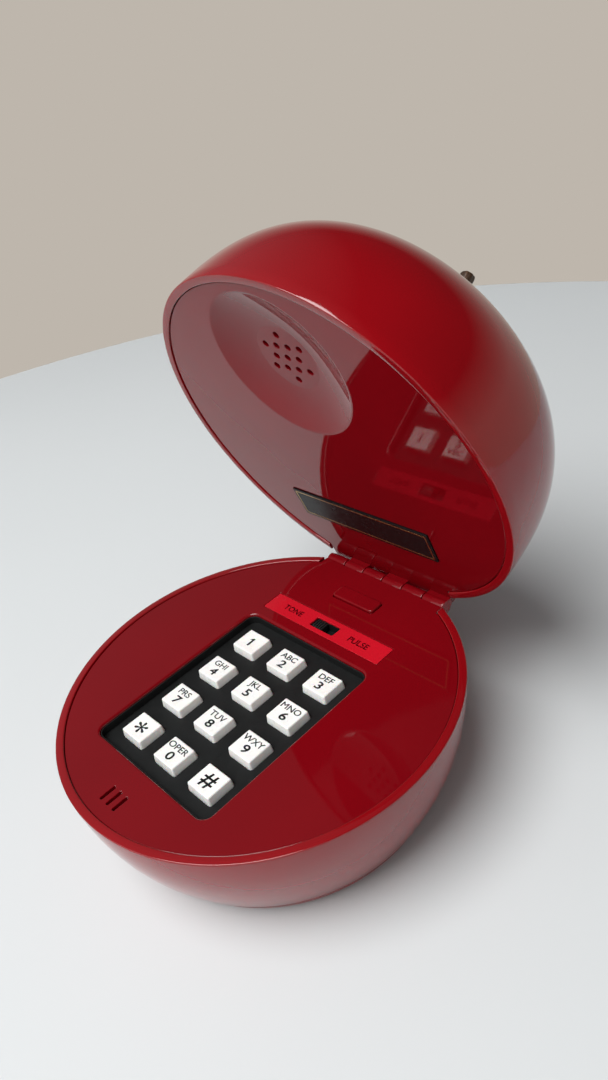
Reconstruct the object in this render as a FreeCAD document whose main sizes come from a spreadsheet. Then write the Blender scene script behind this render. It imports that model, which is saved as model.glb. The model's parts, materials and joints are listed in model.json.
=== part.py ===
import FreeCAD, Part
import Sketcher
import math
import os

# Fruit-shaped clamshell telephone. Millimetres, +Z up. The origin is the centre of the rest face under
# the base. The mouthpiece faces -Y, the hinge and the line jack are at +Y, and X runs across. The lid is
# designed shut, in the same frame as the base, and its pieces are then turned open about the hinge pin.

doc = FreeCAD.newDocument("fruit_phone")
sheet = doc.addObject("Spreadsheet::Sheet", "Sheet")
pieces = []


class Size(float):
    """A length in mm, or a plain number, that remembers the sheet formula it comes from."""

    def __new__(cls, value, formula):
        made = super().__new__(cls, value)
        made.formula = formula
        return made

    def __add__(self, other):
        return joined(self, "+", other, float(self) + float(other))

    def __radd__(self, other):
        return joined(other, "+", self, float(other) + float(self))

    def __sub__(self, other):
        return joined(self, "-", other, float(self) - float(other))

    def __rsub__(self, other):
        return joined(other, "-", self, float(other) - float(self))

    def __mul__(self, other):
        return joined(self, "*", other, float(self) * float(other))

    def __rmul__(self, other):
        return joined(other, "*", self, float(other) * float(self))

    def __truediv__(self, other):
        return joined(self, "/", other, float(self) / float(other))

    def __neg__(self):
        return 0 - self


def formula_of(size):
    return size.formula if isinstance(size, Size) else "%.9g" % size


def joined(left, sign, right, value):
    return Size(value, "(%s %s %s)" % (formula_of(left), sign, formula_of(right)))


def cells(rows):
    """Writes the driving sizes into the sheet and returns them by name."""
    made = {}
    for row, (name, value, note) in enumerate(rows, start=1):
        sheet.set("A%d" % row, name)
        sheet.set("B%d" % row, str(value))
        sheet.set("C%d" % row, note)
        sheet.setAlias("B%d" % row, name)
        made[name] = Size(value, "Sheet." + name)
    doc.recompute()
    return made


SIZES = cells([
    # shells
    ("rim_radius", 65.5, "outer radius where the two halves meet"),
    ("split_height", 43.0, "height of the base's rim above the table"),
    ("lid_rise", 54.9, "height of the lid's shell above its rim"),
    ("wall", 2.6, "shell wall"),
    ("belly_radius", 81.3, "radius of the base's side in profile"),
    ("heel_inset", 12.3, "where the base's side turns under, inside the rim radius"),
    ("heel_height", 4.0, "height of that turn"),
    ("heel_round", 4.6, "rounding of the turn"),
    ("lid_power", 2.72, "fullness of the lid's shoulder"),
    ("dimple_radius", 18.0, "where the lid turns down towards the stem"),
    ("dimple_depth", 9.0, "depth of the stem's hollow"),
    ("stem_seat_radius", 5.0, "flat floor of the stem's hollow"),
    ("ledge_wide", 1.7, "ledge that carries each face plate"),
    ("rim_gap", 0.3, "gap between the two rims when shut"),
    # face plates
    ("plate_thick", 2.2, "face plate thickness"),
    ("plate_setback", 0.5, "face plate below its shell's rim"),
    ("plate_gap", 0.15, "gap round each face plate"),
    # hinge
    ("hinge_inset", 3.7, "hinge axis inside the rim radius"),
    ("hinge_drop", 2.4, "hinge axis below the base's rim"),
    ("open_angle", 73.0, "angle between the halves at the open stop, degrees"),
    ("knuckle_radius", 2.6, "hinge barrel"),
    ("knuckle_pitch", 9.1, "one knuckle with its gap"),
    ("knuckle_gap", 0.3, "gap between knuckles"),
    ("hinge_relief", 4.8, "radius cut out of both shells round the barrel"),
    ("barrel_gap", 0.3, "between the barrel and the base's face plate"),
    ("tab_rear", 0.9, "rear edge of the lid plate's hinge tab behind the axis"),
    ("pin_radius", 1.0, "hinge pin"),
    ("pin_running", 0.05, "running clearance on the pin"),
    ("web_reach", 6.5, "knuckle's web, from the axis to the plate"),
    # keypad
    ("key_pitch_x", 17.2, "between key columns"),
    ("key_pitch_y", 15.5, "between key rows"),
    ("key_wide", 10.5, "key cap at its foot, across"),
    ("key_deep", 9.4, "key cap at its foot, front to back"),
    ("key_rise", 2.7, "cap above the black panel"),
    ("key_taper", 8.4, "slope of the cap's sides, degrees"),
    ("key_travel", 1.2, "how far a key goes down"),
    ("key_gap", 0.2, "gap round a key in the panel"),
    ("key_flange", 1.0, "lip that keeps the key in, out and down"),
    ("key_play", 0.1, "up-and-down play of a key, the hook button and the slider"),
    ("plunger_long", 1.0, "key's plunger under its lip"),
    ("stop_gap", 0.3, "left under a key or the hook button at its stop"),
    ("keypad_y", -11.3, "keypad's centre"),
    ("tub_wide", 55.0, "recess for the keypad, across"),
    ("tub_deep", 66.4, "recess, front to back"),
    ("tub_drop", 3.6, "recess depth below the face plate"),
    ("tub_corner", 3.5, "recess corner radius"),
    ("tub_wall", 3.6, "wall round the recess"),
    ("panel_thick", 1.5, "black key panel"),
    ("mat_thick", 1.0, "rubber contact mat"),
    ("dome_rise", 0.7, "contact dome above the mat"),
    ("dome_radius", 3.0, "contact dome"),
    ("board_thick", 1.6, "circuit boards"),
    # switch strip
    ("strip_y", 31.0, "switch strip's centre"),
    ("strip_wide", 53.7, "switch strip, across"),
    ("strip_deep", 8.2, "switch strip, front to back"),
    ("strip_thick", 0.65, "switch strip"),
    ("slot_wide", 10.9, "slot in the strip, across"),
    ("slot_deep", 4.5, "slot in the strip, front to back"),
    ("slider_wide", 4.4, "switch slider, across"),
    ("slider_travel", 5.6, "from one setting to the other"),
    ("slider_below", 0.3, "slider's top below the face plate"),
    ("switch_tall", 6.0, "mode switch below the face plate"),
    ("strip_gap", 0.3, "between the strip and the mode switch"),
    # hook button
    ("hook_y", 47.2, "hook button's centre"),
    ("hook_wide", 18.4, "hook button, across"),
    ("hook_deep", 5.8, "hook button, front to back"),
    ("hook_proud", 0.9, "hook button above the face plate"),
    ("hook_travel", 2.0, "how far the hook button goes down"),
    ("button_gap", 0.2, "gap round the hook button"),
    ("hook_switch_tall", 8.0, "hook switch"),
    ("hook_switch_top", 33.0, "top of the hook switch, where its screw posts end"),
    # mouthpiece
    ("mouth_y", -55.8, "mouthpiece slots' centre"),
    ("mouth_slot_long", 5.5, "slot length"),
    ("mouth_slot_wide", 1.1, "slot width"),
    ("mouth_slot_pitch", 3.2, "between slots"),
    ("capsule_radius", 4.2, "microphone capsule"),
    ("boot_wall", 1.0, "microphone's rubber boot"),
    ("boot_tall", 5.5, "microphone's rubber boot"),
    # earpiece
    ("dish_y", -34.9, "earpiece dish's centre"),
    ("dish_radius", 25.1, "dish at the face plate"),
    ("dish_floor", 11.1, "flat floor of the dish"),
    ("dish_depth", 3.9, "depth of the dish"),
    ("ear_hole_radius", 1.05, "hole in the dish floor"),
    ("ear_hole_pitch", 4.6, "between neighbouring holes"),
    ("receiver_radius", 15.0, "earpiece receiver"),
    ("receiver_tall", 8.0, "earpiece receiver"),
    ("gasket_thick", 1.0, "foam ring in front of the receiver"),
    ("collar_wall", 1.6, "collar round the receiver"),
    ("fit_gap", 0.2, "clearance round a seated piece"),
    # nameplate, stem
    ("badge_y", 32.3, "nameplate's centre"),
    ("badge_wide", 60.0, "nameplate, across"),
    ("badge_deep", 13.2, "nameplate, front to back"),
    ("badge_thick", 0.8, "nameplate"),
    ("badge_seat", 0.3, "how deep the nameplate is let in"),
    ("stem_long", 38.0, "stem, from its seat to its tip"),
    ("stem_radius", 2.3, "stem at its middle"),
    ("stem_flare", 0.4, "how much thicker the ends are"),
    ("stem_lean", 5.0, "how far the tip leans forward"),
    # base fittings
    ("pad_radius", 36.0, "non-slip pad under the base"),
    ("pad_thick", 1.5, "non-slip pad"),
    ("pad_proud", 0.8, "pad below the shell"),
    ("screw_radius", 1.2, "case screw's shank"),
    ("screw_head", 2.7, "case screw's head radius"),
    ("head_tall", 1.6, "screw head's height"),
    ("lid_head_tall", 0.8, "low heads under the nameplate"),
    ("screw_hole", 1.5, "clearance hole for a case screw"),
    ("board_screw_long", 7.0, "board screw's shank"),
    ("lid_screw_long", 9.0, "lid screw's shank"),
    ("stem_screw_long", 8.0, "stem screw's length inside the stem"),
    ("pilot_deep", 10.0, "pilot holes in the lid and in the stem"),
    ("post_roof", 2.0, "case screws' tips below the face plate"),
    ("pilot_gap", 0.05, "between a screw and its pilot hole"),
    ("boss_wall", 1.6, "wall round a screw's counterbore"),
    ("post_radius", 3.2, "screw post"),
    ("post_front_x", 38.0, "front case screws, each side"),
    ("post_front_y", -16.0, "front case screws"),
    ("post_rear_x", 26.0, "rear case screws, each side"),
    ("post_rear_y", 32.0, "rear case screws"),
    ("post_foot", 30.0, "height where posts meet the base's bosses"),
    ("screw_seat", 14.0, "height of the case screws' seats"),
    ("board_height", 20.4, "underside of the main board"),
    ("board_wide", 36.0, "main board, across"),
    ("board_front", -16.0, "main board's front edge"),
    ("board_rear", 42.0, "main board's rear edge"),
    ("board_inset", 4.5, "main board's screws from its edges"),
    ("part_pitch", 8.0, "spacing of the parts on the main board"),
    ("transformer_wide", 12.0, "line transformer, across"),
    ("transformer_deep", 14.0, "line transformer, front to back"),
    ("transformer_tall", 7.0, "line transformer"),
    ("chip_wide", 18.0, "dialler chip, across"),
    ("chip_deep", 6.6, "dialler chip, front to back"),
    ("chip_tall", 3.3, "dialler chip"),
    ("capacitor_x", 9.0, "capacitors, each side"),
    ("smoother_radius", 3.0, "smoothing capacitor"),
    ("smoother_tall", 7.5, "smoothing capacitor"),
    ("coupler_radius", 2.4, "coupling capacitor"),
    ("coupler_tall", 6.0, "coupling capacitor"),
    ("ballast_wide", 46.0, "steel weight, across"),
    ("ballast_deep", 22.0, "steel weight, front to back"),
    ("ballast_thick", 5.0, "steel weight"),
    ("ballast_y", -27.0, "steel weight's centre"),
    ("ringer_radius", 14.0, "ringer disc"),
    ("ringer_thick", 3.2, "ringer disc"),
    ("ringer_y", 14.0, "ringer disc's centre"),
    ("jack_wide", 13.0, "line jack, across"),
    ("jack_tall", 12.0, "line jack"),
    ("jack_deep", 14.0, "line jack, front to back"),
    ("jack_inset", 8.1, "line jack's mouth inside the rim radius"),
    ("jack_foot", 12.0, "underside of the line jack"),
    ("socket_wide", 9.7, "line jack's socket, across"),
    ("socket_tall", 6.6, "line jack's socket"),
    ("socket_deep", 11.5, "line jack's socket"),
    ("latch_drop", 1.4, "the plug's latch way below the socket"),
])
s = SIZES

# levels, from the driving sizes
rim = s["split_height"]
face = rim - s["plate_setback"]
plate_under = face - s["plate_thick"]
panel_top = face - s["tub_drop"]
panel_under = panel_top - s["panel_thick"]
floor_out = s["pad_proud"]
floor_in = floor_out + s["wall"]
lid_rim = rim + s["rim_gap"]
lid_face = lid_rim + s["plate_setback"]
lid_back = lid_face + s["plate_thick"]
lid_top = lid_rim + s["lid_rise"]
heel_radius = s["rim_radius"] - s["heel_inset"]
jack_face = s["rim_radius"] - s["jack_inset"]
plate_radius = s["rim_radius"] - s["wall"] - s["plate_gap"]
axis_y = s["rim_radius"] - s["hinge_inset"]
axis_z = rim - s["hinge_drop"]
hinge_half = 3 * s["knuckle_pitch"]
tub_y = s["keypad_y"]
hook_level = s["hook_switch_top"]

SHUT = FreeCAD.Placement()
OPEN = FreeCAD.Placement(
    FreeCAD.Vector(0, 0, 0),
    FreeCAD.Rotation(FreeCAD.Vector(1, 0, 0), -float(s["open_angle"])),
    FreeCAD.Vector(0, axis_y, axis_z),
)


# ---------------------------------------------------------------- helpers

def bind(thing, name, size):
    thing.setExpression(name, formula_of(size))


def body(name):
    made = doc.addObject("PartDesign::Body", name)
    made.Label = name
    return made


def sketch(owner, name, role, level=0):
    """A sketch on one of the body's own planes, moved along that plane's normal by level."""
    made = owner.newObject("Sketcher::SketchObject", name)
    plane = [f for f in owner.Origin.OriginFeatures if f.Role == role][0]
    made.AttachmentSupport = [(plane, "")]
    made.MapMode = "FlatFace"
    bind(made, "AttachmentOffset.Base.z", level)
    return made


def constrain(target, kind, *args):
    """Adds a constraint whose last argument is a size bound to the sheet."""
    index = target.addConstraint(Sketcher.Constraint(kind, *args[:-1], float(args[-1])))
    bind(target, "Constraints[%d]" % index, args[-1])


def circle(target, x, y, radius):
    spot = FreeCAD.Vector(x, y, 0)
    index = target.addGeometry(Part.Circle(spot, FreeCAD.Vector(0, 0, 1), float(radius)))
    constrain(target, "Radius", index, radius)
    place_point(target, index, 3, x, y)


def place_point(target, index, end, x, y):
    for kind, size, axis in (("DistanceX", x, -2), ("DistanceY", y, -1)):
        if float(size) != 0:
            constrain(target, kind, -1, 1, index, end, size)
        else:
            target.addConstraint(Sketcher.Constraint("PointOnObject", index, end, axis))


def rectangle(target, x, y, wide, deep):
    """A rectangle round the point x, y."""
    low_x, low_y, high_x, high_y = x - wide / 2, y - deep / 2, x + wide / 2, y + deep / 2
    corners = [(low_x, low_y), (high_x, low_y), (high_x, high_y), (low_x, high_y)]
    polygon(target, corners)


def polygon(target, corners):
    """A closed outline of straight lines, each corner bound to its two sizes."""
    spots = [FreeCAD.Vector(x, y, 0) for x, y in corners]
    first = None
    for i, spot in enumerate(spots):
        index = target.addGeometry(Part.LineSegment(spot, spots[(i + 1) % len(spots)]))
        first = index if first is None else first
        if i:
            target.addConstraint(Sketcher.Constraint("Coincident", index - 1, 2, index, 1))
    target.addConstraint(Sketcher.Constraint("Coincident", index, 2, first, 1))
    for i, (x, y) in enumerate(corners):
        place_point(target, first + i, 1, x, y)


def drawn(target, edges):
    """A closed outline with curves, drawn from the sheet's sizes and fixed in place."""
    for edge in edges:
        target.addGeometry(edge)
    for i in range(len(edges)):
        target.addConstraint(Sketcher.Constraint("Block", i))


def line(a, b):
    return Part.LineSegment(FreeCAD.Vector(a[0], a[1], 0), FreeCAD.Vector(b[0], b[1], 0))


def lines(spots):
    return [line(a, b) for a, b in zip(spots, spots[1:])]


def curve(spots):
    made = Part.BSplineCurve()
    made.interpolate([FreeCAD.Vector(x, y, 0) for x, y in spots])
    return made


def pad(owner, profile, length, down=False, both=False, taper=None):
    made = owner.newObject("PartDesign::Pad", profile.Name + "_pad")
    made.Profile = profile
    made.SideType = "Symmetric" if both else "One side"
    made.Reversed = down
    bind(made, "Length", length)
    if taper is not None:
        bind(made, "TaperAngle", taper)
    profile.Visibility = False
    doc.recompute()
    return made


def pocket(owner, profile, length, up=False, both=False):
    before = owner.Shape.Volume
    made = owner.newObject("PartDesign::Pocket", profile.Name + "_cut")
    made.Profile = profile
    made.SideType = "Symmetric" if both else "One side"
    made.Reversed = up
    bind(made, "Length", length)
    doc.recompute()
    if not owner.Shape.Volume < before - 1e-6:
        raise ValueError("%s cuts nothing" % made.Name)
    return made


def turned(owner, profile, kind="PartDesign::Revolution"):
    """The profile turned about the sketch's own upright axis."""
    made = owner.newObject(kind, profile.Name + "_turned")
    made.Profile = profile
    made.ReferenceAxis = (profile, ["V_Axis"])
    made.Angle = 360
    doc.recompute()
    return made


def fillet(owner, test, radius):
    base = owner.Tip
    names = ["Edge%d" % (i + 1) for i, e in enumerate(base.Shape.Edges) if test(e)]
    made = owner.newObject("PartDesign::Fillet", base.Name + "_round")
    made.Base = (base, names)
    bind(made, "Radius", radius)
    doc.recompute()
    return made


def is_upright(edge):
    a, b = edge.Vertexes[0].Point, edge.Vertexes[-1].Point
    return len(edge.Vertexes) == 2 and abs((b - a).z) > 0.9 * (b - a).Length > 0


def box(name, x, y, z, wide, deep, tall):
    """A box round x, y that stands on z."""
    made = doc.addObject("Part::Box", name)
    for prop, size in (("Length", wide), ("Width", deep), ("Height", tall)):
        bind(made, prop, size)
    for prop, size in (("x", x - wide / 2), ("y", y - deep / 2), ("z", z)):
        bind(made, "Placement.Base." + prop, size)
    return made


def cylinder(name, x, y, z, radius, tall):
    """An upright cylinder that stands on z."""
    made = doc.addObject("Part::Cylinder", name)
    bind(made, "Radius", radius)
    bind(made, "Height", tall)
    for prop, size in (("x", x), ("y", y), ("z", z)):
        bind(made, "Placement.Base." + prop, size)
    return made


def ring(name, x, y, z, outer, inner, tall):
    return cut(name, cylinder(name + "_outer", x, y, z, outer, tall),
               [cylinder(name + "_inner", x, y, z - 1, inner, tall + 2)])


def fuse(name, shapes):
    made = doc.addObject("Part::MultiFuse", name)
    made.Shapes = shapes
    return made


def cut(name, base, tools):
    made = doc.addObject("Part::Cut", name)
    made.Base = base
    if len(tools) == 1:
        made.Tool = tools[0]
    else:
        group = doc.addObject("Part::Compound", name + "_tools")
        group.Links = tools
        made.Tool = group
    return made


def group(name, shapes):
    made = doc.addObject("Part::Compound", name)
    made.Links = shapes
    return made


def keep(thing, name, placement=SHUT):
    """Names a finished sub-part and puts it in place.

    A plain solid keeps the place that the sheet gives it, so it rides in a group.
    """
    if placement is not SHUT and thing.TypeId in ("Part::Box", "Part::Cylinder"):
        thing.Label = name + "_solid"
        thing = group(name + "_placed", [thing])
    thing.Label = name
    thing.Placement = placement
    pieces.append(thing)
    return thing


def arc_centre(a, b, radius):
    """Centre of the arc from a to b, on the side of the axis of the phone."""
    mid_x, mid_y = (a[0] + b[0]) / 2, (a[1] + b[1]) / 2
    run_x, run_y = b[0] - a[0], b[1] - a[1]
    chord = math.hypot(run_x, run_y)
    reach = math.sqrt(radius ** 2 - chord ** 2 / 4)
    return mid_x + run_y / chord * reach, mid_y - run_x / chord * reach


def screw(name, x, y, head_z, shank_long, shank, head, up=True, head_tall=SIZES["head_tall"]):
    """A pan-head screw whose head stands under head_z, or over it, and its shank beyond."""
    if up:
        return fuse(name, [cylinder(name + "_head", x, y, head_z - head_tall, head, head_tall),
                           cylinder(name + "_shank", x, y, head_z, shank, shank_long)])
    return fuse(name, [cylinder(name + "_head", x, y, head_z, head, head_tall),
                       cylinder(name + "_shank", x, y, head_z - shank_long, shank, shank_long)])


# ---------------------------------------------------------------- base

post_spots = [(side * s["post_front_x"], s["post_front_y"]) for side in (-1, 1)]
post_spots += [(side * s["post_rear_x"], s["post_rear_y"]) for side in (-1, 1)]
board_mid = (s["board_front"] + s["board_rear"]) / 2
board_long = s["board_rear"] - s["board_front"]
board_spots = [(x * (s["board_wide"] / 2 - s["board_inset"]),
                board_mid + y * (board_long / 2 - s["board_inset"])) for x in (-1, 1) for y in (-1, 1)]
boss_radius = s["screw_head"] + s["pilot_gap"] * 4 + s["boss_wall"]
counterbore = s["screw_head"] + s["pilot_gap"] * 4
pilot = s["screw_radius"] + s["pilot_gap"]
notch_wide = 2 * (hinge_half + 2 * s["knuckle_gap"])


def round_notch(owner, name, radius):
    """Clears a round channel along the hinge out of a shell or a face plate."""
    cutter = sketch(owner, name, "YZ_Plane")
    circle(cutter, axis_y, axis_z, radius)
    pocket(owner, cutter, notch_wide, both=True)


def hinge_notch(owner, name, low, high):
    """Clears the barrel and the face plate's hinge tab out of a shell."""
    round_notch(owner, name, s["hinge_relief"])
    slot = sketch(owner, name + "_tab", "YZ_Plane")
    front, back = axis_y - s["web_reach"] - s["fit_gap"], axis_y + s["knuckle_radius"]
    polygon(slot, [(front, low), (back, low), (back, high), (front, high)])
    pocket(owner, slot, notch_wide, both=True)


def hinge_tab(owner, name, level, rear):
    """Carries a face plate straight back to the hinge."""
    tab = sketch(owner, name, "XY_Plane", level)
    front = axis_y - 2 * s["web_reach"]
    rectangle(tab, 0, (front + rear) / 2, 2 * hinge_half, rear - front)
    pad(owner, tab, s["plate_thick"])


def posts(owner, name, spots, radius, foot, top):
    rising = sketch(owner, name, "XY_Plane", foot)
    for x, y in spots:
        circle(rising, x, y, radius)
    pad(owner, rising, top - foot)


def holes(owner, name, spots, radius, foot, depth):
    """Round holes that start at foot and go up."""
    rising = sketch(owner, name, "XY_Plane", foot)
    for x, y in spots:
        circle(rising, x, y, radius)
    pocket(owner, rising, depth, up=True)


def base_profile():
    """Half section of the base's shell, in radius and height."""
    top, heel = (s["rim_radius"], rim), (heel_radius, s["heel_height"])
    centre_r, centre_z = arc_centre(top, heel, s["belly_radius"])

    def side(height, inset):
        reach = s["belly_radius"] - inset
        return centre_r + math.sqrt(reach ** 2 - (height - centre_z) ** 2), height

    def arc(low, high, inset):
        return curve([side(low + (high - low) * i / 4, inset) for i in range(5)])

    wall, ledge = s["wall"], plate_under - 2 * s["ledge_wide"]
    seat = s["rim_radius"] - wall
    inner_foot = side(floor_in + s["heel_round"] / 2, wall)
    foot_r = heel_radius - s["heel_round"]
    turn_r = heel_radius - s["heel_round"] / 3
    pad_r = s["pad_radius"] + s["fit_gap"]
    pad_top = s["pad_thick"]
    under = side(ledge, wall)
    heel_turn = Part.Arc(FreeCAD.Vector(heel[0], heel[1], 0),
                         FreeCAD.Vector(turn_r, floor_out + (heel[1] - floor_out) / 3.4, 0),
                         FreeCAD.Vector(foot_r, floor_out, 0))
    return [arc(heel[1], rim, 0), heel_turn] + lines([
        (foot_r, floor_out), (pad_r, floor_out), (pad_r, pad_top), (0, pad_top),
        (0, floor_in + pad_top), (foot_r - wall / 2, floor_in + pad_top), inner_foot,
    ]) + [arc(inner_foot[1], ledge, wall)] + lines([
        under, (seat - s["ledge_wide"], plate_under - s["ledge_wide"]),
        (seat - s["ledge_wide"], plate_under), (seat, plate_under), (seat, rim), top,
    ])


def lower_shell():
    shell = body("lower_shell")
    half = sketch(shell, "base_half_section", "XZ_Plane")
    drawn(half, base_profile())
    turned(shell, half)
    inside = floor_in
    posts(shell, "case_bosses", post_spots, boss_radius, inside, s["post_foot"])
    posts(shell, "board_bosses", board_spots, s["post_radius"] - s["pilot_gap"], inside, s["board_height"])
    shelf = sketch(shell, "jack_shelf", "XY_Plane", inside)
    rectangle(shelf, 0, jack_face - s["jack_deep"] + s["heel_height"],
              s["jack_wide"] - 1, 2 * s["heel_height"])
    pad(shell, shelf, s["jack_foot"] - inside)
    holes(shell, "counterbores", post_spots, counterbore, 0, s["screw_seat"])
    holes(shell, "case_screw_holes", post_spots, s["screw_hole"], 0, s["post_foot"] + 1)
    holes(shell, "board_pilots", board_spots, pilot, s["board_height"] / 2, s["board_height"])
    mouth = sketch(shell, "jack_mouth", "XZ_Plane", -(jack_face - s["jack_deep"]))
    rectangle(mouth, 0, s["jack_foot"] + s["jack_tall"] / 2,
              s["jack_wide"] + 2 * s["fit_gap"], s["jack_tall"] + 2 * s["fit_gap"])
    pocket(shell, mouth, s["jack_deep"] + s["wall"] * 4)
    hinge_notch(shell, "base_hinge_notch", axis_z - s["knuckle_radius"], rim + 1)
    keep(shell, "lower_shell")


def knuckles(owner, name, first, web, hole):
    """Every second knuckle of the barrel, each with the web that joins it to its plate."""
    for i in range(first, 6, 2):
        middle = (i - 2.5) * s["knuckle_pitch"]
        long = s["knuckle_pitch"] - s["knuckle_gap"]
        for part, draw in (("web", web), ("barrel", None)):
            profile = sketch(owner, "%s_%s_%d" % (name, part, i), "YZ_Plane", middle)
            if draw:
                polygon(profile, draw)
            else:
                circle(profile, axis_y, axis_z, s["knuckle_radius"])
            pad(owner, profile, long, both=True)
    bore = sketch(owner, name + "_bore", "YZ_Plane")
    circle(bore, axis_y, axis_z, hole)
    pocket(owner, bore, 2 * hinge_half + 2, both=True)


# keypad stack, from the black panel down to its board
flange_top = panel_under - s["key_play"]
flange_foot = flange_top - s["key_flange"]
plunger_foot = flange_foot - s["plunger_long"]
dome_top = plunger_foot - s["key_travel"] - s["stop_gap"]
mat_top = dome_top - s["dome_rise"]
mat_foot = mat_top - s["mat_thick"]
keypad_board_foot = mat_foot - s["board_thick"]
stack_wide = s["tub_wide"] + 2 * s["tub_wall"]
stack_deep = s["tub_deep"] + 2 * s["tub_wall"]
keypad_spots = [(x * (s["tub_wide"] + s["tub_wall"]) / 2, tub_y + y * (s["tub_deep"] + s["tub_wall"]) / 2)
                for x in (-1, 1) for y in (-1, 1)]
keypad_screw = s["screw_radius"] * 0.7
keypad_pilot = keypad_screw + s["pilot_gap"]
leg_radius = keypad_screw + s["boss_wall"] * 0.85
key_names = ["1", "2", "3", "4", "5", "6", "7", "8", "9", "star", "0", "hash"]
key_spots = {name: ((i % 3 - 1) * s["key_pitch_x"], tub_y + (1.5 - i // 3) * s["key_pitch_y"])
             for i, name in enumerate(key_names)}


def key_plate():
    plate = body("key_plate")
    disc = sketch(plate, "face_disc", "XY_Plane", plate_under)
    circle(disc, 0, 0, plate_radius)
    pad(plate, disc, s["plate_thick"])
    hinge_tab(plate, "base_hinge_tab", plate_under, axis_y)
    tub = sketch(plate, "tub_wall", "XY_Plane", panel_top)
    rectangle(tub, 0, tub_y, s["tub_wide"] + 2 * s["tub_wall"],
              s["tub_deep"] + 2 * s["tub_wall"])
    pad(plate, tub, face - panel_top)
    posts(plate, "case_posts", post_spots, s["post_radius"], s["post_foot"], face - s["plate_thick"] / 2)
    hook_posts = [(side * (s["hook_wide"] / 2 + 2.5 * s["boss_wall"]), s["hook_y"]) for side in (-1, 1)]
    posts(plate, "hook_posts", hook_posts, s["boss_wall"] * 1.25, hook_level, face - s["plate_thick"] / 2)
    recess = sketch(plate, "tub_recess", "XY_Plane", face)
    rectangle(recess, 0, tub_y, s["tub_wide"], s["tub_deep"])
    pocket(plate, recess, s["tub_drop"] + 1)
    fillet(plate, lambda e: is_upright(e) and abs(abs(e.Vertexes[0].X) - s["tub_wide"] / 2) < 0.01,
           s["tub_corner"])
    seat = sketch(plate, "strip_seat", "XY_Plane", face)
    rectangle(seat, 0, s["strip_y"], s["strip_wide"] + 2 * s["plate_gap"],
              s["strip_deep"] + 2 * s["plate_gap"])
    pocket(plate, seat, s["strip_thick"])
    for name, y, wide, deep in (
        ("switch_hole", s["strip_y"],
         s["slot_wide"] + 2 * s["boss_wall"], s["slot_deep"] + s["boss_wall"]),
        ("hook_hole", s["hook_y"],
         s["hook_wide"] + 2 * s["button_gap"], s["hook_deep"] + 2 * s["button_gap"]),
    ):
        hole = sketch(plate, name, "XY_Plane", face)
        rectangle(hole, 0, y, wide, deep)
        pocket(plate, hole, s["plate_thick"] + 1)
    slots = sketch(plate, "mouth_slots", "XY_Plane", face)
    for i in (-1, 0, 1):
        rectangle(slots, i * s["mouth_slot_pitch"], s["mouth_y"], s["mouth_slot_wide"], s["mouth_slot_long"])
    pocket(plate, slots, s["plate_thick"] + 1)
    holes(plate, "case_pilots", post_spots, pilot, s["post_foot"] - 1, plate_under - s["post_foot"])
    holes(plate, "keypad_pilots", keypad_spots, keypad_pilot, panel_top - 1, 1 + s["tub_drop"] * 0.8)
    round_notch(plate, "plate_hinge_notch", s["knuckle_radius"] + s["barrel_gap"])
    back = axis_y - s["web_reach"]
    web = [(back, plate_under), (back, face), (axis_y - 0.6 * s["knuckle_radius"], face), (axis_y, axis_z),
           (axis_y - 0.2 * s["knuckle_radius"], axis_z - 0.85 * s["knuckle_radius"])]
    knuckles(plate, "base_knuckle", 0, web, s["pin_radius"] + s["pin_running"] / 5)
    keep(plate, "key_plate")


def key(name, x, y):
    """One key: the tapered cap above the panel, its foot in the panel's hole, the lip and the plunger."""
    cap = body("key_" + name)
    layers = (
        ("lip", flange_foot, flange_top - flange_foot, 2 * s["key_flange"], None),
        ("foot", flange_top, panel_top - flange_top, 0, None),
        ("cap", panel_top, s["key_rise"], 0, -s["key_taper"]),
    )
    for part, level, tall, extra, taper in layers:
        outline = sketch(cap, "key_%s_%s" % (name, part), "XY_Plane", level)
        rectangle(outline, x, y, s["key_wide"] + extra, s["key_deep"] + extra)
        pad(cap, outline, tall, taper=taper)
    plunger = sketch(cap, "key_%s_plunger" % name, "XY_Plane", plunger_foot)
    circle(plunger, x, y, s["dome_radius"] * 0.8)
    pad(cap, plunger, flange_foot - plunger_foot)
    fillet(cap, lambda e: is_upright(e) and min(v.Z for v in e.Vertexes) > panel_top - 0.01,
           s["key_flange"])
    fillet(cap, lambda e: min(v.Z for v in e.Vertexes) > panel_top + s["key_rise"] - 0.01,
           s["key_flange"] * 0.45)
    keep(cap, "key_" + name)


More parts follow.
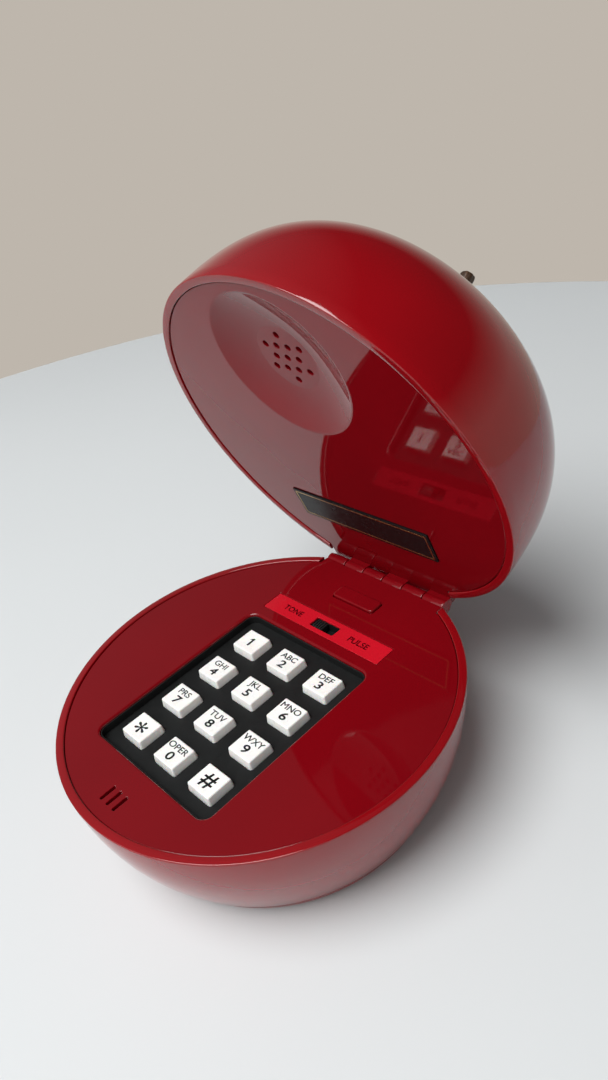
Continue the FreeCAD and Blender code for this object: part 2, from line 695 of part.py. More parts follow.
def keypad():
    hole_tools = []
    for name, (x, y) in key_spots.items():
        key(name, x, y)
        hole_tools.append(box("panel_hole_" + name, x, y, panel_under - 1, s["key_wide"] + 2 * s["key_gap"],
                              s["key_deep"] + 2 * s["key_gap"], s["panel_thick"] + 2))
    slab = box("panel_slab", 0, tub_y, panel_under, stack_wide, stack_deep, s["panel_thick"])
    legs = [cylinder("panel_leg_%d" % i, x, y, mat_foot, leg_radius, panel_top - mat_foot)
            for i, (x, y) in enumerate(keypad_spots)]
    bores = [cylinder("panel_bore_%d" % i, x, y, mat_foot - 1, keypad_pilot, panel_top - mat_foot + 2)
             for i, (x, y) in enumerate(keypad_spots)]
    keep(cut("key_panel", fuse("panel_body", [slab] + legs), hole_tools + bores), "key_panel")
    sheet_pad = box("mat_sheet", 0, tub_y, mat_foot, s["tub_wide"] - 1, s["tub_deep"] - 1, s["mat_thick"])
    domes = [cylinder("mat_dome_" + name, x, y, mat_foot, s["dome_radius"], dome_top - mat_foot)
             for name, (x, y) in key_spots.items()]
    keep(fuse("contact_mat", [sheet_pad] + domes), "contact_mat")
    board = box("keypad_board_slab", 0, tub_y, keypad_board_foot, stack_wide, stack_deep, s["board_thick"])
    bores = [cylinder("keypad_board_bore_%d" % i, x, y, keypad_board_foot - 1, keypad_pilot, 4)
             for i, (x, y) in enumerate(keypad_spots)]
    keep(cut("keypad_board", board, bores), "keypad_board")
    reach = panel_top + s["tub_drop"] * 0.7 - keypad_board_foot
    keep(group("keypad_screws", [screw("keypad_screw_%d" % i, x, y, keypad_board_foot, reach, keypad_screw,
                                       2 * keypad_screw) for i, (x, y) in enumerate(keypad_spots)]),
         "keypad_screws")


def switches():
    strip_foot = face - s["strip_thick"]
    strip = box("strip_slab", 0, s["strip_y"], strip_foot, s["strip_wide"], s["strip_deep"],
                s["strip_thick"])
    slot = box("strip_slot", 0, s["strip_y"], strip_foot - 1, s["slot_wide"], s["slot_deep"], 3)
    keep(cut("switch_strip", strip, [slot]), "switch_strip")
    slide_deep = s["slot_deep"] - 2 * s["fit_gap"]
    channel_foot = plate_under - s["boss_wall"]
    case_foot = plate_under - s["switch_tall"]
    case = box("slide_case", 0, s["strip_y"], case_foot, s["slot_wide"] + s["boss_wall"],
               s["slot_deep"] + 2 * s["fit_gap"], strip_foot - s["strip_gap"] - case_foot)
    channel = box("slide_channel", 0, s["strip_y"], channel_foot, s["slot_wide"] - 2 * s["fit_gap"],
                  s["slot_deep"] - s["fit_gap"], s["switch_tall"])
    keep(cut("mode_switch", case, [channel]), "mode_switch")
    slider_foot = channel_foot + s["key_play"]
    slider_tall = face - s["slider_below"] + s["key_play"] - slider_foot
    keep(box("mode_slider", -s["slider_travel"] / 2, s["strip_y"], slider_foot, s["slider_wide"],
             slide_deep - s["fit_gap"], slider_tall), "mode_slider")

    button = body("hook_button")
    top, lip = face + s["hook_proud"], s["key_flange"]
    lip_top = plate_under - s["key_play"]
    stem_foot = hook_level + s["hook_travel"] + s["stop_gap"]
    for part, level, tall, wide, deep in (
        ("pad", lip_top, top - lip_top, s["hook_wide"], s["hook_deep"]),
        ("lip", lip_top - lip, lip, s["hook_wide"] + 2 * lip, s["hook_deep"] + 2 * lip),
        ("stem", stem_foot, lip_top - lip - stem_foot, s["hook_deep"] * 0.8, s["hook_deep"] * 0.7),
    ):
        outline = sketch(button, "hook_button_" + part, "XY_Plane", level)
        rectangle(outline, 0, s["hook_y"], wide, deep)
        pad(button, outline, tall)
    fillet(button, lambda e: is_upright(e) and max(v.Z for v in e.Vertexes) > top - 0.01, lip)
    fillet(button, lambda e: min(v.Z for v in e.Vertexes) > top - 0.01, lip / 2)
    keep(button, "hook_button")
    deep, flange = s["hook_deep"] + 3 * s["fit_gap"], s["boss_wall"]
    keep(fuse("hook_switch", [
        box("hook_switch_flange", 0, s["hook_y"], hook_level - flange, s["hook_wide"] + 9 * flange,
            deep, flange),
        box("hook_switch_case", 0, s["hook_y"], hook_level - s["hook_switch_tall"], s["hook_wide"] * 0.9,
            deep, s["hook_switch_tall"]),
    ]), "hook_switch")


def mouthpiece():
    outer = s["capsule_radius"] + s["boot_wall"]
    tall = s["boot_tall"]
    boot = cylinder("boot_outer", 0, s["mouth_y"], plate_under - tall, outer, tall)
    hollow = cylinder("boot_hollow", 0, s["mouth_y"], plate_under - tall + s["boot_wall"],
                      s["capsule_radius"], tall)
    keep(cut("mic_boot", boot, [hollow]), "mic_boot")
    keep(cylinder("mic_capsule", 0, s["mouth_y"], plate_under - tall + s["boot_wall"], s["capsule_radius"],
                  tall - s["boot_wall"] - s["fit_gap"]), "mic_capsule")


def base_fittings():
    seat_floor = floor_in + s["pad_thick"]
    board = box("main_board_slab", 0, board_mid, s["board_height"], s["board_wide"], board_long,
                s["board_thick"])
    bores = [cylinder("main_board_bore_%d" % i, x, y, s["board_height"] - 1, s["screw_hole"], 4)
             for i, (x, y) in enumerate(board_spots)]
    keep(cut("main_board", board, bores), "main_board")
    top = s["board_height"] + s["board_thick"]
    keep(group("board_parts", [
        box("line_transformer", 0, board_mid - s["part_pitch"], top, s["transformer_wide"],
            s["transformer_deep"], s["transformer_tall"]),
        box("dialler_chip", 0, board_mid + s["part_pitch"], top, s["chip_wide"], s["chip_deep"],
            s["chip_tall"]),
        cylinder("smoothing_capacitor", s["capacitor_x"], board_mid - 2 * s["part_pitch"], top,
                 s["smoother_radius"], s["smoother_tall"]),
        cylinder("coupling_capacitor", -s["capacitor_x"], board_mid - 2 * s["part_pitch"], top,
                 s["coupler_radius"], s["coupler_tall"]),
    ]), "board_parts")
    keep(group("board_screws", [screw("board_screw_%d" % i, x, y, top, s["board_screw_long"],
                                      s["screw_radius"], s["screw_head"], up=False)
                                for i, (x, y) in enumerate(board_spots)]), "board_screws")
    long = plate_under - s["post_roof"] - s["screw_seat"]
    keep(group("case_screws", [screw("case_screw_%d" % i, x, y, s["screw_seat"], long, s["screw_radius"],
                                     s["screw_head"]) for i, (x, y) in enumerate(post_spots)]), "case_screws")
    keep(box("ballast_plate", 0, s["ballast_y"], seat_floor, s["ballast_wide"], s["ballast_deep"],
             s["ballast_thick"]), "ballast_plate")
    keep(cylinder("ringer_disc", 0, s["ringer_y"], seat_floor, s["ringer_radius"], s["ringer_thick"]),
         "ringer_disc")
    jack = box("jack_case", 0, jack_face - s["jack_deep"] / 2, s["jack_foot"], s["jack_wide"],
               s["jack_deep"], s["jack_tall"])
    socket = box("jack_socket", 0, jack_face - s["socket_deep"] / 2 + 1,
                 s["jack_foot"] + (s["jack_tall"] - s["socket_tall"]) / 2, s["socket_wide"],
                 s["socket_deep"] + 2, s["socket_tall"])
    latch = box("jack_latch_way", 0, jack_face - s["socket_deep"] / 2 + 1,
                s["jack_foot"] + (s["jack_tall"] - s["socket_tall"]) / 2 - s["latch_drop"],
                s["socket_wide"] * 0.42, s["socket_deep"] + 2, s["latch_drop"] + s["key_play"] * 6)
    keep(cut("line_jack", jack, [socket, latch]), "line_jack")
    keep(cylinder("base_pad", 0, 0, 0, s["pad_radius"], s["pad_thick"]), "base_pad")


# ---------------------------------------------------------------- lid

lid_spots = [(side * s["badge_wide"] * 0.36, s["badge_y"]) for side in (-1, 1)]
receiver_foot = lid_face + s["dish_depth"] + s["plate_thick"] + s["gasket_thick"]
lid_screw_seat = lid_back - 0.45 * s["plate_thick"]


def swell(radius, rise, power, turn):
    """A point on the lid's shoulder; turn runs from 0 at the rim to a quarter turn at the crown."""
    return (radius * math.cos(turn) ** (2 / power), lid_rim + rise * math.sin(turn) ** (2 / power))


def lid_height(radius, inset):
    """Height of the lid's surface at a radius, inset from the outside."""
    share = radius / (s["rim_radius"] - inset)
    return lid_rim + (s["lid_rise"] - inset) * (1 - share ** s["lid_power"]) ** (1 / s["lid_power"])


def lid_line(inset, foot, last_radius):
    """The lid's outline from foot, a height, over the shoulder and down into the stem's hollow."""
    radius, rise = s["rim_radius"] - inset, s["lid_rise"] - inset
    start = math.asin(((foot - lid_rim) / rise) ** (s["lid_power"] / 2))
    edge = s["dimple_radius"] + inset
    end = math.acos((edge / radius) ** (s["lid_power"] / 2))
    shoulder = [swell(radius, rise, s["lid_power"], start + (end - start) * i / 8) for i in range(9)]
    crest, depth = shoulder[-1][1], s["dimple_depth"] - (shoulder[-1][1] - lid_top + inset)
    reach = edge - last_radius
    hollow = [(edge - reach * run, crest - depth * drop) for run, drop in ((0.45, 0.14), (0.8, 0.52), (1, 1))]
    return curve(shoulder + hollow), shoulder[0], hollow[-1]


def upper_shell():
    shell = body("upper_shell")
    wall, seat = s["wall"], s["rim_radius"] - s["wall"]
    inner_foot = lid_back + 2 * s["ledge_wide"]
    outside, outer_start, outer_end = lid_line(0, lid_rim, s["stem_seat_radius"])
    inside, inner_start, inner_end = lid_line(wall, inner_foot, s["stem_seat_radius"] + wall)
    edges = [outside] + lines([
        outer_end, (0, outer_end[1]), (0, inner_end[1]), inner_end,
    ]) + [inside] + lines([
        inner_start, (seat - s["ledge_wide"], lid_back + s["ledge_wide"]), (seat - s["ledge_wide"], lid_back),
        (seat, lid_back), (seat, lid_rim), outer_start,
    ])
    half = sketch(shell, "lid_half_section", "XZ_Plane")
    drawn(half, edges)
    turned(shell, half)
    for i, (x, y) in enumerate(lid_spots):
        reach = math.hypot(x, y) + s["post_radius"]
        posts(shell, "lid_post_%d" % i, [(x, y)], s["post_radius"], lid_back,
              lid_back + (lid_height(reach, wall / 2) - lid_back))
    holes(shell, "lid_pilots", lid_spots, pilot, lid_back - 1, s["pilot_deep"])
    holes(shell, "stem_screw_hole", [(0, 0)], s["screw_hole"], inner_end[1] - 1, 2 * wall + 1)
    hinge_notch(shell, "lid_hinge_notch", lid_rim - 1, lid_back + s["plate_gap"])
    keep(shell, "upper_shell", OPEN)
    return outer_end[1], inner_end[1]


def ear_holes():
    """Centres of the dish's holes: one, the six next to it, and the six beyond those."""
    row = s["ear_hole_pitch"] * math.sqrt(3) / 2
    spots = []
    for across in range(-2, 3):
        for along in range(-2, 3):
            x, y = (across + along / 2) * s["ear_hole_pitch"], along * row
            if math.hypot(x, y) < 1.8 * s["ear_hole_pitch"]:
                spots.append((x, s["dish_y"] + y))
    return spots


def dish_line(inset):
    """The bowl's profile, from the face plate's plane to its floor, moved back by inset."""
    outer, floor, deep = s["dish_radius"], s["dish_floor"], s["dish_depth"]
    run = outer - floor
    shares = ((0, 0), (0.12, 0.2), (0.5, 0.66), (0.86, 0.95), (1, 1))
    return [(outer - run * a, lid_face + inset + deep * b) for a, b in shares]


def ear_plate():
    plate = body("ear_plate_body")
    disc = sketch(plate, "ear_disc", "XY_Plane", lid_face)
    circle(disc, 0, 0, plate_radius)
    pad(plate, disc, s["plate_thick"])
    hinge_tab(plate, "lid_hinge_tab", lid_face, axis_y + s["tab_rear"])
    bowl = dish_line(s["plate_thick"])
    back = sketch(plate, "bowl_back", "XZ_Plane", -s["dish_y"])
    drawn(back, [curve(bowl)] + lines([
        bowl[-1], (0, bowl[-1][1]), (0, lid_face), (bowl[0][0], lid_face), bowl[0],
    ]))
    turned(plate, back)
    collar_in = s["receiver_radius"] + s["fit_gap"]
    collar_top = receiver_foot + s["receiver_tall"]
    collar = sketch(plate, "receiver_collar", "XY_Plane", lid_back)
    circle(collar, 0, s["dish_y"], collar_in + s["collar_wall"])
    circle(collar, 0, s["dish_y"], collar_in)
    pad(plate, collar, collar_top - lid_back)
    front = dish_line(0)
    below = lid_face - 1
    bowl_cut = sketch(plate, "bowl_front", "XZ_Plane", -s["dish_y"])
    drawn(bowl_cut, [curve(front)] + lines([
        front[-1], (0, front[-1][1]), (0, below), (front[0][0], below), front[0],
    ]))
    turned(plate, bowl_cut, "PartDesign::Groove")
    holes(plate, "ear_holes", ear_holes(), s["ear_hole_radius"], lid_face,
          s["dish_depth"] + s["plate_thick"] + 1)
    seat = sketch(plate, "badge_seat", "XY_Plane", lid_face)
    rectangle(seat, 0, s["badge_y"], s["badge_wide"] + 2 * s["plate_gap"],
              s["badge_deep"] + 2 * s["plate_gap"])
    pocket(plate, seat, s["badge_seat"], up=True)
    holes(plate, "lid_screw_holes", lid_spots, s["screw_hole"], lid_face - 1, s["plate_thick"] + 2)
    holes(plate, "lid_screw_seats", lid_spots, counterbore, lid_face - 1, 1 + lid_screw_seat - lid_face)
    barrel = s["knuckle_radius"]
    web = [(axis_y - 0.6 * barrel, lid_face + s["plate_thick"] / 2), (axis_y - 0.6 * barrel, lid_face),
           (axis_y - 0.85 * barrel, axis_z + barrel / 2), (axis_y, axis_z),
           (axis_y + 0.85 * barrel, axis_z + barrel / 2), (axis_y + s["tab_rear"], lid_face),
           (axis_y + s["tab_rear"], lid_face + s["plate_thick"] / 2)]
    knuckles(plate, "lid_knuckle", 1, web, s["pin_radius"] + s["pin_running"])
    keep(plate, "ear_plate", OPEN)


def stem(seat):
    """A slightly curved stalk, thicker at its two ends, its foot on the floor of the hollow."""
    rings = []
    for i in range(6):
        share = i / 5
        thick = s["stem_radius"] + s["stem_flare"] * (2 * share - 1) ** 2
        lean = math.atan2(2 * s["stem_lean"] * share, s["stem_long"])
        centre = FreeCAD.Vector(0, -s["stem_lean"] * share ** 2, seat + s["stem_long"] * share)
        hoop = Part.Circle(centre, FreeCAD.Vector(0, -math.sin(lean), math.cos(lean)), thick)
        rings.append(Part.Wire([hoop.toShape()]))
    made = doc.addObject("Part::Feature", "stem_stalk")
    made.Shape = Part.makeLoft(rings, True, False)
    bore = cylinder("stem_bore", 0, 0, seat - 1, pilot, s["pilot_deep"] + 1)
    keep(cut("stem", made, [bore]), "stem", OPEN)


def lid_fittings(seat, under):
    keep(box("nameplate", 0, s["badge_y"], lid_face + s["badge_seat"] - s["badge_thick"], s["badge_wide"],
             s["badge_deep"], s["badge_thick"]), "nameplate", OPEN)
    stem(seat)
    keep(screw("stem_screw", 0, 0, under, seat - under + s["stem_screw_long"], s["screw_radius"],
               s["screw_head"]), "stem_screw", OPEN)
    keep(group("lid_screws", [screw("lid_screw_%d" % i, x, y, lid_screw_seat, s["lid_screw_long"],
                                    s["screw_radius"], s["screw_head"] * 0.9, head_tall=s["lid_head_tall"])
                              for i, (x, y) in enumerate(lid_spots)]), "lid_screws", OPEN)
    keep(ring("receiver_gasket", 0, s["dish_y"], receiver_foot - s["gasket_thick"], s["receiver_radius"],
              s["dish_floor"] - s["gasket_thick"], s["gasket_thick"]), "receiver_gasket", OPEN)
    keep(cylinder("receiver", 0, s["dish_y"], receiver_foot, s["receiver_radius"],
                  s["receiver_tall"] - s["fit_gap"]), "receiver", OPEN)
    collar_in = s["receiver_radius"] + s["fit_gap"]
    keep(ring("receiver_cap", 0, s["dish_y"], receiver_foot + s["receiver_tall"],
              collar_in + s["collar_wall"], s["receiver_radius"] / 2, s["collar_wall"]), "receiver_cap", OPEN)


def hinge_pin():
    pin = body("hinge_pin")
    section = sketch(pin, "pin_section", "YZ_Plane")
    circle(section, axis_y, axis_z, s["pin_radius"])
    pad(pin, section, 2 * hinge_half - 2 * s["knuckle_gap"], both=True)
    keep(pin, "hinge_pin")


lower_shell()
key_plate()
keypad()
switches()
mouthpiece()
base_fittings()
hinge_pin()
seat_level, under_level = upper_shell()
ear_plate()
lid_fittings(seat_level, under_level)
doc.recompute()

for thing in doc.Objects:
    if "Invalid" in thing.State or "Error" in thing.State:
        raise ValueError("%s is %s" % (thing.Name, thing.State))
for thing in pieces:
    if thing.Shape.isNull() or not thing.Shape.isValid() or not thing.Shape.Solids:
        raise ValueError("%s has no valid solid" % thing.Label)

os.makedirs("parts", exist_ok=True)
for thing in pieces:
    thing.Shape.exportStep("parts/%s.step" % thing.Label)
    print("%-18s %2d solid(s) %9.1f mm3" % (thing.Label, len(thing.Shape.Solids), thing.Shape.Volume))
print("pieces", len(pieces))
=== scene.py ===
"""Looks of a fruit-shaped clamshell telephone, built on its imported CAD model.

Lengths in the pieces' own code are in millimetres, with the lid shut. The lid's pieces are turned open
about the hinge pin as they are made, so they lie where the CAD model holds them.
"""

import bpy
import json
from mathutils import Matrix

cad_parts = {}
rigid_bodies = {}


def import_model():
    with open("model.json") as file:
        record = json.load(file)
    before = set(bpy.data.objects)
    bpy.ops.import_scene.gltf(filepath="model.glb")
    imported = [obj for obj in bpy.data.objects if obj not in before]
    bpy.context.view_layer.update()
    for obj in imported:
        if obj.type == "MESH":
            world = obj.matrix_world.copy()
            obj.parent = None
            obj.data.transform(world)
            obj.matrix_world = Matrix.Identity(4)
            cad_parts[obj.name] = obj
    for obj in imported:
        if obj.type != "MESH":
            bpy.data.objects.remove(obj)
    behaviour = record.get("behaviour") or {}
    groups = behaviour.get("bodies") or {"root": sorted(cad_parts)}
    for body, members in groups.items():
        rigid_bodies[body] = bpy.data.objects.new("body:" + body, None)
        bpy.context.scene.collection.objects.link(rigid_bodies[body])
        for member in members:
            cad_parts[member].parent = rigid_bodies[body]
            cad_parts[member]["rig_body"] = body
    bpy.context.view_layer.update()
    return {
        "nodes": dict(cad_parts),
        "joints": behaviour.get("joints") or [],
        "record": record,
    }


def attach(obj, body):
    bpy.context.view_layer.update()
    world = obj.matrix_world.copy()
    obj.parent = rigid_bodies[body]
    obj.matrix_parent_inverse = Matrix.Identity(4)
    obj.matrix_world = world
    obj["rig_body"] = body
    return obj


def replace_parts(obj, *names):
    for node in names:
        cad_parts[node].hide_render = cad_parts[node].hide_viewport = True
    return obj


bl_info = {
    "name": "Fruit telephone looks",
    "version": (1, 0, 0),
    "blender": (4, 5, 0),
    "location": "View3D > Sidebar > Telephone",
    "description": "Shells, keypad, earpiece, nameplate, stem and stage of a fruit-shaped telephone",
    "category": "Object",
}

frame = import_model()

import json
import math

import bpy
from bpy.props import FloatProperty, FloatVectorProperty, IntProperty, PointerProperty
from bpy.types import Operator, Panel, PropertyGroup
from mathutils import Matrix, Vector, noise
from mathutils.geometry import delaunay_2d_cdt

MM = 0.001
HINGE = next(joint for joint in frame["joints"] if joint["name"] == "lid_hinge")
PIN = Vector(HINGE["pos_m"]) / MM
LID_OPEN = (Matrix.Translation(PIN) @ Matrix.Rotation(-math.radians(HINGE["range_deg"][1]), 4, "X")
            @ Matrix.Translation(-PIN))
SLOTS = {part["node"]: part["material_slot"] for part in frame["record"]["subparts"]}
LID_NODES = set(frame["record"]["behaviour"]["bodies"]["lid"])


def corners(node):
    """Lowest and highest corner of a CAD node in mm, with the lid shut."""
    turn = LID_OPEN.inverted() if node in LID_NODES else Matrix.Identity(4)
    spots = [turn @ (v.co / MM) for v in frame["nodes"][node].data.vertices]
    return tuple(Vector([pick(p[i] for p in spots) for i in range(3)]) for pick in (min, max))


def footprint(node):
    """Middle x, middle y, width and depth of a CAD node in mm, with the lid shut."""
    low, high = corners(node)
    return (low.x + high.x) / 2, (low.y + high.y) / 2, high.x - low.x, high.y - low.y


RIM_RADIUS, RIM = corners("lower_shell")[1].x, corners("lower_shell")[1].z
FACE = corners("switch_strip")[1].z
PLATE_RADIUS = corners("key_plate")[1].x
PANEL_TOP = corners("key_panel")[1].z
LID_RIM = corners("upper_shell")[0].z
LID_FACE = LID_RIM + RIM - FACE

# Sizes in mm that a piece's outer box doesn't tell.
LID_TOP = 98.2
STEM_HOLLOW = 9.0  # depth of the hollow that the stem stands in
SHOULDER = 18.0  # radius where the lid turns down into that hollow
WALL = 2.6
PLATE_THICK = 2.2
LEDGE = 1.7  # width of the ledge that a face plate lies on
BELLY = 81.3  # radius of the arc of the base's side
HEEL, HEEL_WIDE, HEEL_TALL = (53.2, 4.0), 4.6, 3.2
PAD_RECESS, FOOT = 1.5, (48.6, 0.8)
BASE_FLOOR = 4.9
WELL_RADIUS, WELL_DEEP, WELL_HOLE = 2.9, 14, 1.5
CASE_SCREWS = [(-38.0, -16.0), (38.0, -16.0), (-26.0, 32.0), (26.0, 32.0)]
BARREL = 2.6
HINGE_HALF = 27.3
KNUCKLE_PITCH, KNUCKLE_HALF = 9.1, 4.4
BASE_TAB, LID_TAB = PIN.y - 2.15, PIN.y + 0.9  # where the plates' straight tabs end
RECESS_IN = 7.2  # how much less than the key panel its recess measures
STRIP_HOLE = (10.9, 4.5)
MOUTH_Y, MOUTH_PITCH, MOUTH_WIDE, MOUTH_LONG = -55.8, 3.2, 1.1, 5.5
DISH_Y, DISH_RADIUS, DISH_FLOOR, DISH_DEEP = -34.9, 25.1, 11.1, 3.9
EAR_HOLE, EAR_PITCH = 1.05, 4.6
PRINT = 0.03  # how far the type stands above a key
KEYS = {
    "key_1": ("1", ""), "key_2": ("2", "ABC"), "key_3": ("3", "DEF"),
    "key_4": ("4", "GHI"), "key_5": ("5", "JKL"), "key_6": ("6", "MNO"),
    "key_7": ("7", "PRS"), "key_8": ("8", "TUV"), "key_9": ("9", "WXY"),
    "key_star": ("*", ""), "key_0": ("0", "OPER"), "key_hash": ("#", ""),
}


# ---------------------------------------------------------------- settings

def length(name, note, default, low, high):
    return FloatProperty(name=name, description=note, default=default, min=low, max=high, precision=2)


def colour(name, note, default):
    return FloatVectorProperty(name=name, description=note, default=default, subtype="COLOR", size=3,
                               min=0.0, max=1.0)


class PhoneShape(PropertyGroup):
    """Small shapes that the CAD model leaves plain."""

    edge: length("Edge rounding", "Rounding of moulded edges, in mm", 0.35, 0.05, 1.0)
    key_corner: length("Key corners", "Upright corners of a key cap, in mm", 0.8, 0.2, 3.0)
    key_edge: length("Key edge", "Rounding round the top of a key cap, in mm", 0.4, 0.1, 1.5)
    key_dish: length("Key dish", "How far a key's top dips at its middle, in mm", 0.16, 0.0, 0.6)
    digit_size: length("Digit size", "Height of the digits' type, in mm", 4.2, 1.0, 8.0)
    letter_size: length("Letter size", "Height of the letters' type, in mm", 3.0, 0.5, 5.0)
    lip: length("Dish lip", "Softening where the ear dish meets its plate, in mm", 0.5, 0.1, 4.0)
    stem_ridge: length("Stem ridges", "Depth of the ridges along the stem, in mm", 0.16, 0.0, 0.6)
    round_steps: IntProperty(name="Steps round", description="Segments round the shells", default=256,
                             min=32, max=720)


class PhoneColours(PropertyGroup):
    """Colours of the moulded pieces, as linear values."""

    shell: colour("Casing red", "Both outer shells", (0.225, 0.0018, 0.0045))
    plate: colour("Plate red", "Both face plates", (0.165, 0.0012, 0.004))
    strip: colour("Strip red", "Inlaid switch strip", (0.48, 0.006, 0.016))
    key: colour("Key white", "Key caps", (0.86, 0.86, 0.83))
    black: colour("Panel black", "Key panel, legends and nameplate", (0.012, 0.013, 0.013))
    stem: colour("Stem brown", "Stem's bark", (0.050, 0.026, 0.014))
    gold: colour("Gold", "Nameplate's border and the jack's contacts", (0.42, 0.29, 0.12))
    words: colour("Strip words", "Faint words on the switch strip", (0.22, 0.018, 0.032))


class PhoneStage(PropertyGroup):
    """Table top, lamps, surround and lens."""

    floor: colour("Floor", "Plain pale floor", (0.63, 0.655, 0.66))
    air: colour("Surround", "Backdrop at and below the horizon", (0.515, 0.468, 0.413))
    air_high: colour("Upper surround", "Dim room overhead", (0.24, 0.24, 0.25))
    floor_radius: FloatProperty(name="Floor radius", description="The round floor's radius", default=0.53,
                                min=0.2, max=5.0, unit="LENGTH")
    light_strength: FloatProperty(name="Lamp strength", description="Factor on every lamp", default=1.0,
                                  min=0.0, max=10.0)
    lens: FloatProperty(name="Lens", description="Camera lens in mm", default=27.0, min=10.0, max=200.0)


# ---------------------------------------------------------------- mesh building

class Solid:
    """Vertices and faces in mm, gathered ring by ring."""

    def __init__(self):
        self.spots, self.faces, self.flat = [], [], set()

    def ring(self, points):
        first = len(self.spots)
        self.spots += [Vector(p) for p in points]
        return list(range(first, len(self.spots)))

    def band(self, low, high):
        """Quads between two closed rings of the same length."""
        for i in range(len(low)):
            j = (i + 1) % len(low)
            self.faces.append((low[i], low[j], high[j], high[i]))

    def onward(self, last, rows, swapped=False):
        """Bands from a ring through rows of points; returns the last ring."""
        for points in rows:
            ring = self.ring(points)
            self.band(*((ring, last) if swapped else (last, ring)))
            last = ring
        return last

    def cap(self, ring, point, up):
        """A fan from a ring to one point."""
        tip = self.ring([point])[0]
        for i in range(len(ring)):
            j = (i + 1) % len(ring)
            self.faces.append((ring[i], ring[j], tip) if up else (ring[j], ring[i], tip))

    def sheet(self, outer, inner, height, up=True):
        """A flat face between one outline and the holes in it; returns each outline's ring."""
        outlines = [outer] + inner
        points, edges = [], []
        for outline in outlines:
            first = len(points)
            points += [Vector(p) for p in outline]
            edges += [(first + i, first + (i + 1) % len(outline)) for i in range(len(outline))]
        flat = delaunay_2d_cdt(points, edges, [], 1, 1e-5)
        start = len(self.spots)
        self.spots += [Vector((p[0], p[1], height)) for p in flat[0]]
        for face in flat[2]:
            middle = sum((flat[0][i] for i in face), Vector((0, 0))) / len(face)
            if inside(middle, outer) and not any(inside(middle, hole) for hole in inner):
                self.flat.add(len(self.faces))
                face = [start + i for i in face]
                self.faces.append(tuple(face if up else reversed(face)))
        where = {}
        for made, sources in enumerate(flat[3]):
            for source in sources:
                where[source] = start + made
        rings, first = [], 0
        for outline in outlines:
            rings.append([where[first + i] for i in range(len(outline))])
            first += len(outline)
        return rings

    def shifted(self, change, mirrored=False):
        self.spots = [change(p) for p in self.spots]
        if mirrored:
            self.faces = [tuple(reversed(face)) for face in self.faces]
        return self

    def join(self, other):
        first = len(self.faces)
        base = len(self.spots)
        self.spots += other.spots
        self.faces += [tuple(base + i for i in face) for face in other.faces]
        self.flat |= {first + i for i in other.flat}
        return self


def inside(point, outline):
    """Whether a point lies inside a closed outline."""
    within = False
    for a, b in zip(outline, outline[1:] + outline[:1]):
        if (a[1] > point[1]) != (b[1] > point[1]):
            if point[0] < a[0] + (b[0] - a[0]) * (point[1] - a[1]) / (b[1] - a[1]):
                within = not within
    return within


def round_outline(x, y, radius, steps=64):
    """A circle that can grow."""
    def grown(grow):
        return [(x + (radius + grow) * math.cos(2 * math.pi * i / steps),
                 y + (radius + grow) * math.sin(2 * math.pi * i / steps)) for i in range(steps)]
    return grown


def tabbed_outline(radius, half, back, steps=240):
    """A face plate's outline that can grow: a circle with a straight tab behind it for the hinge."""
    def grown(grow):
        turn = math.acos((half + grow) / (radius + grow))
        sweep = math.pi + 2 * turn
        round_part = [((radius + grow) * math.cos(a), (radius + grow) * math.sin(a))
                      for a in (math.pi - turn + sweep * i / steps for i in range(steps + 1))]
        return round_part + [((half + grow) * (1 - i / 8), back + grow) for i in range(17)]
    return grown


def square_outline(x, y, wide, deep, corner, steps=6, along=1):
    """An outline that can grow: a rectangle with rounded corners and evenly divided sides."""
    def grown(grow):
        radius = max(corner + grow, 0.03)
        half_x, half_y = wide / 2 + grow - radius, deep / 2 + grow - radius
        made = []
        for quarter, (sx, sy) in enumerate(((1, 1), (-1, 1), (-1, -1), (1, -1))):
            for i in range(steps + 1):
                turn = math.pi / 2 * (quarter + i / steps)
                made.append((x + sx * half_x + radius * math.cos(turn),
                             y + sy * half_y + radius * math.sin(turn)))
            next_x, next_y = ((-half_x, made[-1][1] - y), (made[-1][0] - x, -half_y),
                              (half_x, made[-1][1] - y), (made[-1][0] - x, half_y))[quarter]
            start = made[-1]
            for i in range(1, along):
                made.append((start[0] + (x + next_x - start[0]) * i / along,
                             start[1] + (y + next_y - start[1]) * i / along))
        return made
    return grown


def at_height(outline, height):
    return [(x, y, height) for x, y in outline]


def quarter_turns(steps, numbers):
    """Angles of the given steps of a quarter turn."""
    return [math.pi / 2 * i / steps for i in numbers]


def quarter(edge, steps=5):
    """Inset and drop along a rounded edge, from the flat face to the upright side."""
    return [(edge * math.sin(t), edge * (1 - math.cos(t))) for t in quarter_turns(steps, range(1, steps + 1))]


def down_hole(hole, rounding, top, floor, steps=5):
    """Rows of points round a hole's upper edge and straight down to its floor."""
    return ([at_height(hole(rounding - out), top - down) for out, down in quarter(rounding, steps)]
            + [at_height(hole(0), floor)])


def plate(outer, holes, top, bottom, edge):
    """A flat plate with rounded upper edges; holes are (outline, edge, floor height)."""
    made = Solid()
    rings = made.sheet(outer(-edge), [hole(rounding) for hole, rounding, _ in holes], top)
    side = [at_height(outer(out - edge), top - down) for out, down in quarter(edge)]
    last = made.onward(rings[0], side, swapped=True)
    made.band(made.sheet(outer(0), [hole(0) for hole, _, _ in holes], bottom, False)[0], last)
    for (hole, rounding, floor), last in zip(holes, rings[1:]):
        made.onward(last, down_hole(hole, rounding, top, floor))
    return made


def centre_of(outline, height):
    return (sum(p[0] for p in outline) / len(outline), sum(p[1] for p in outline) / len(outline), height)


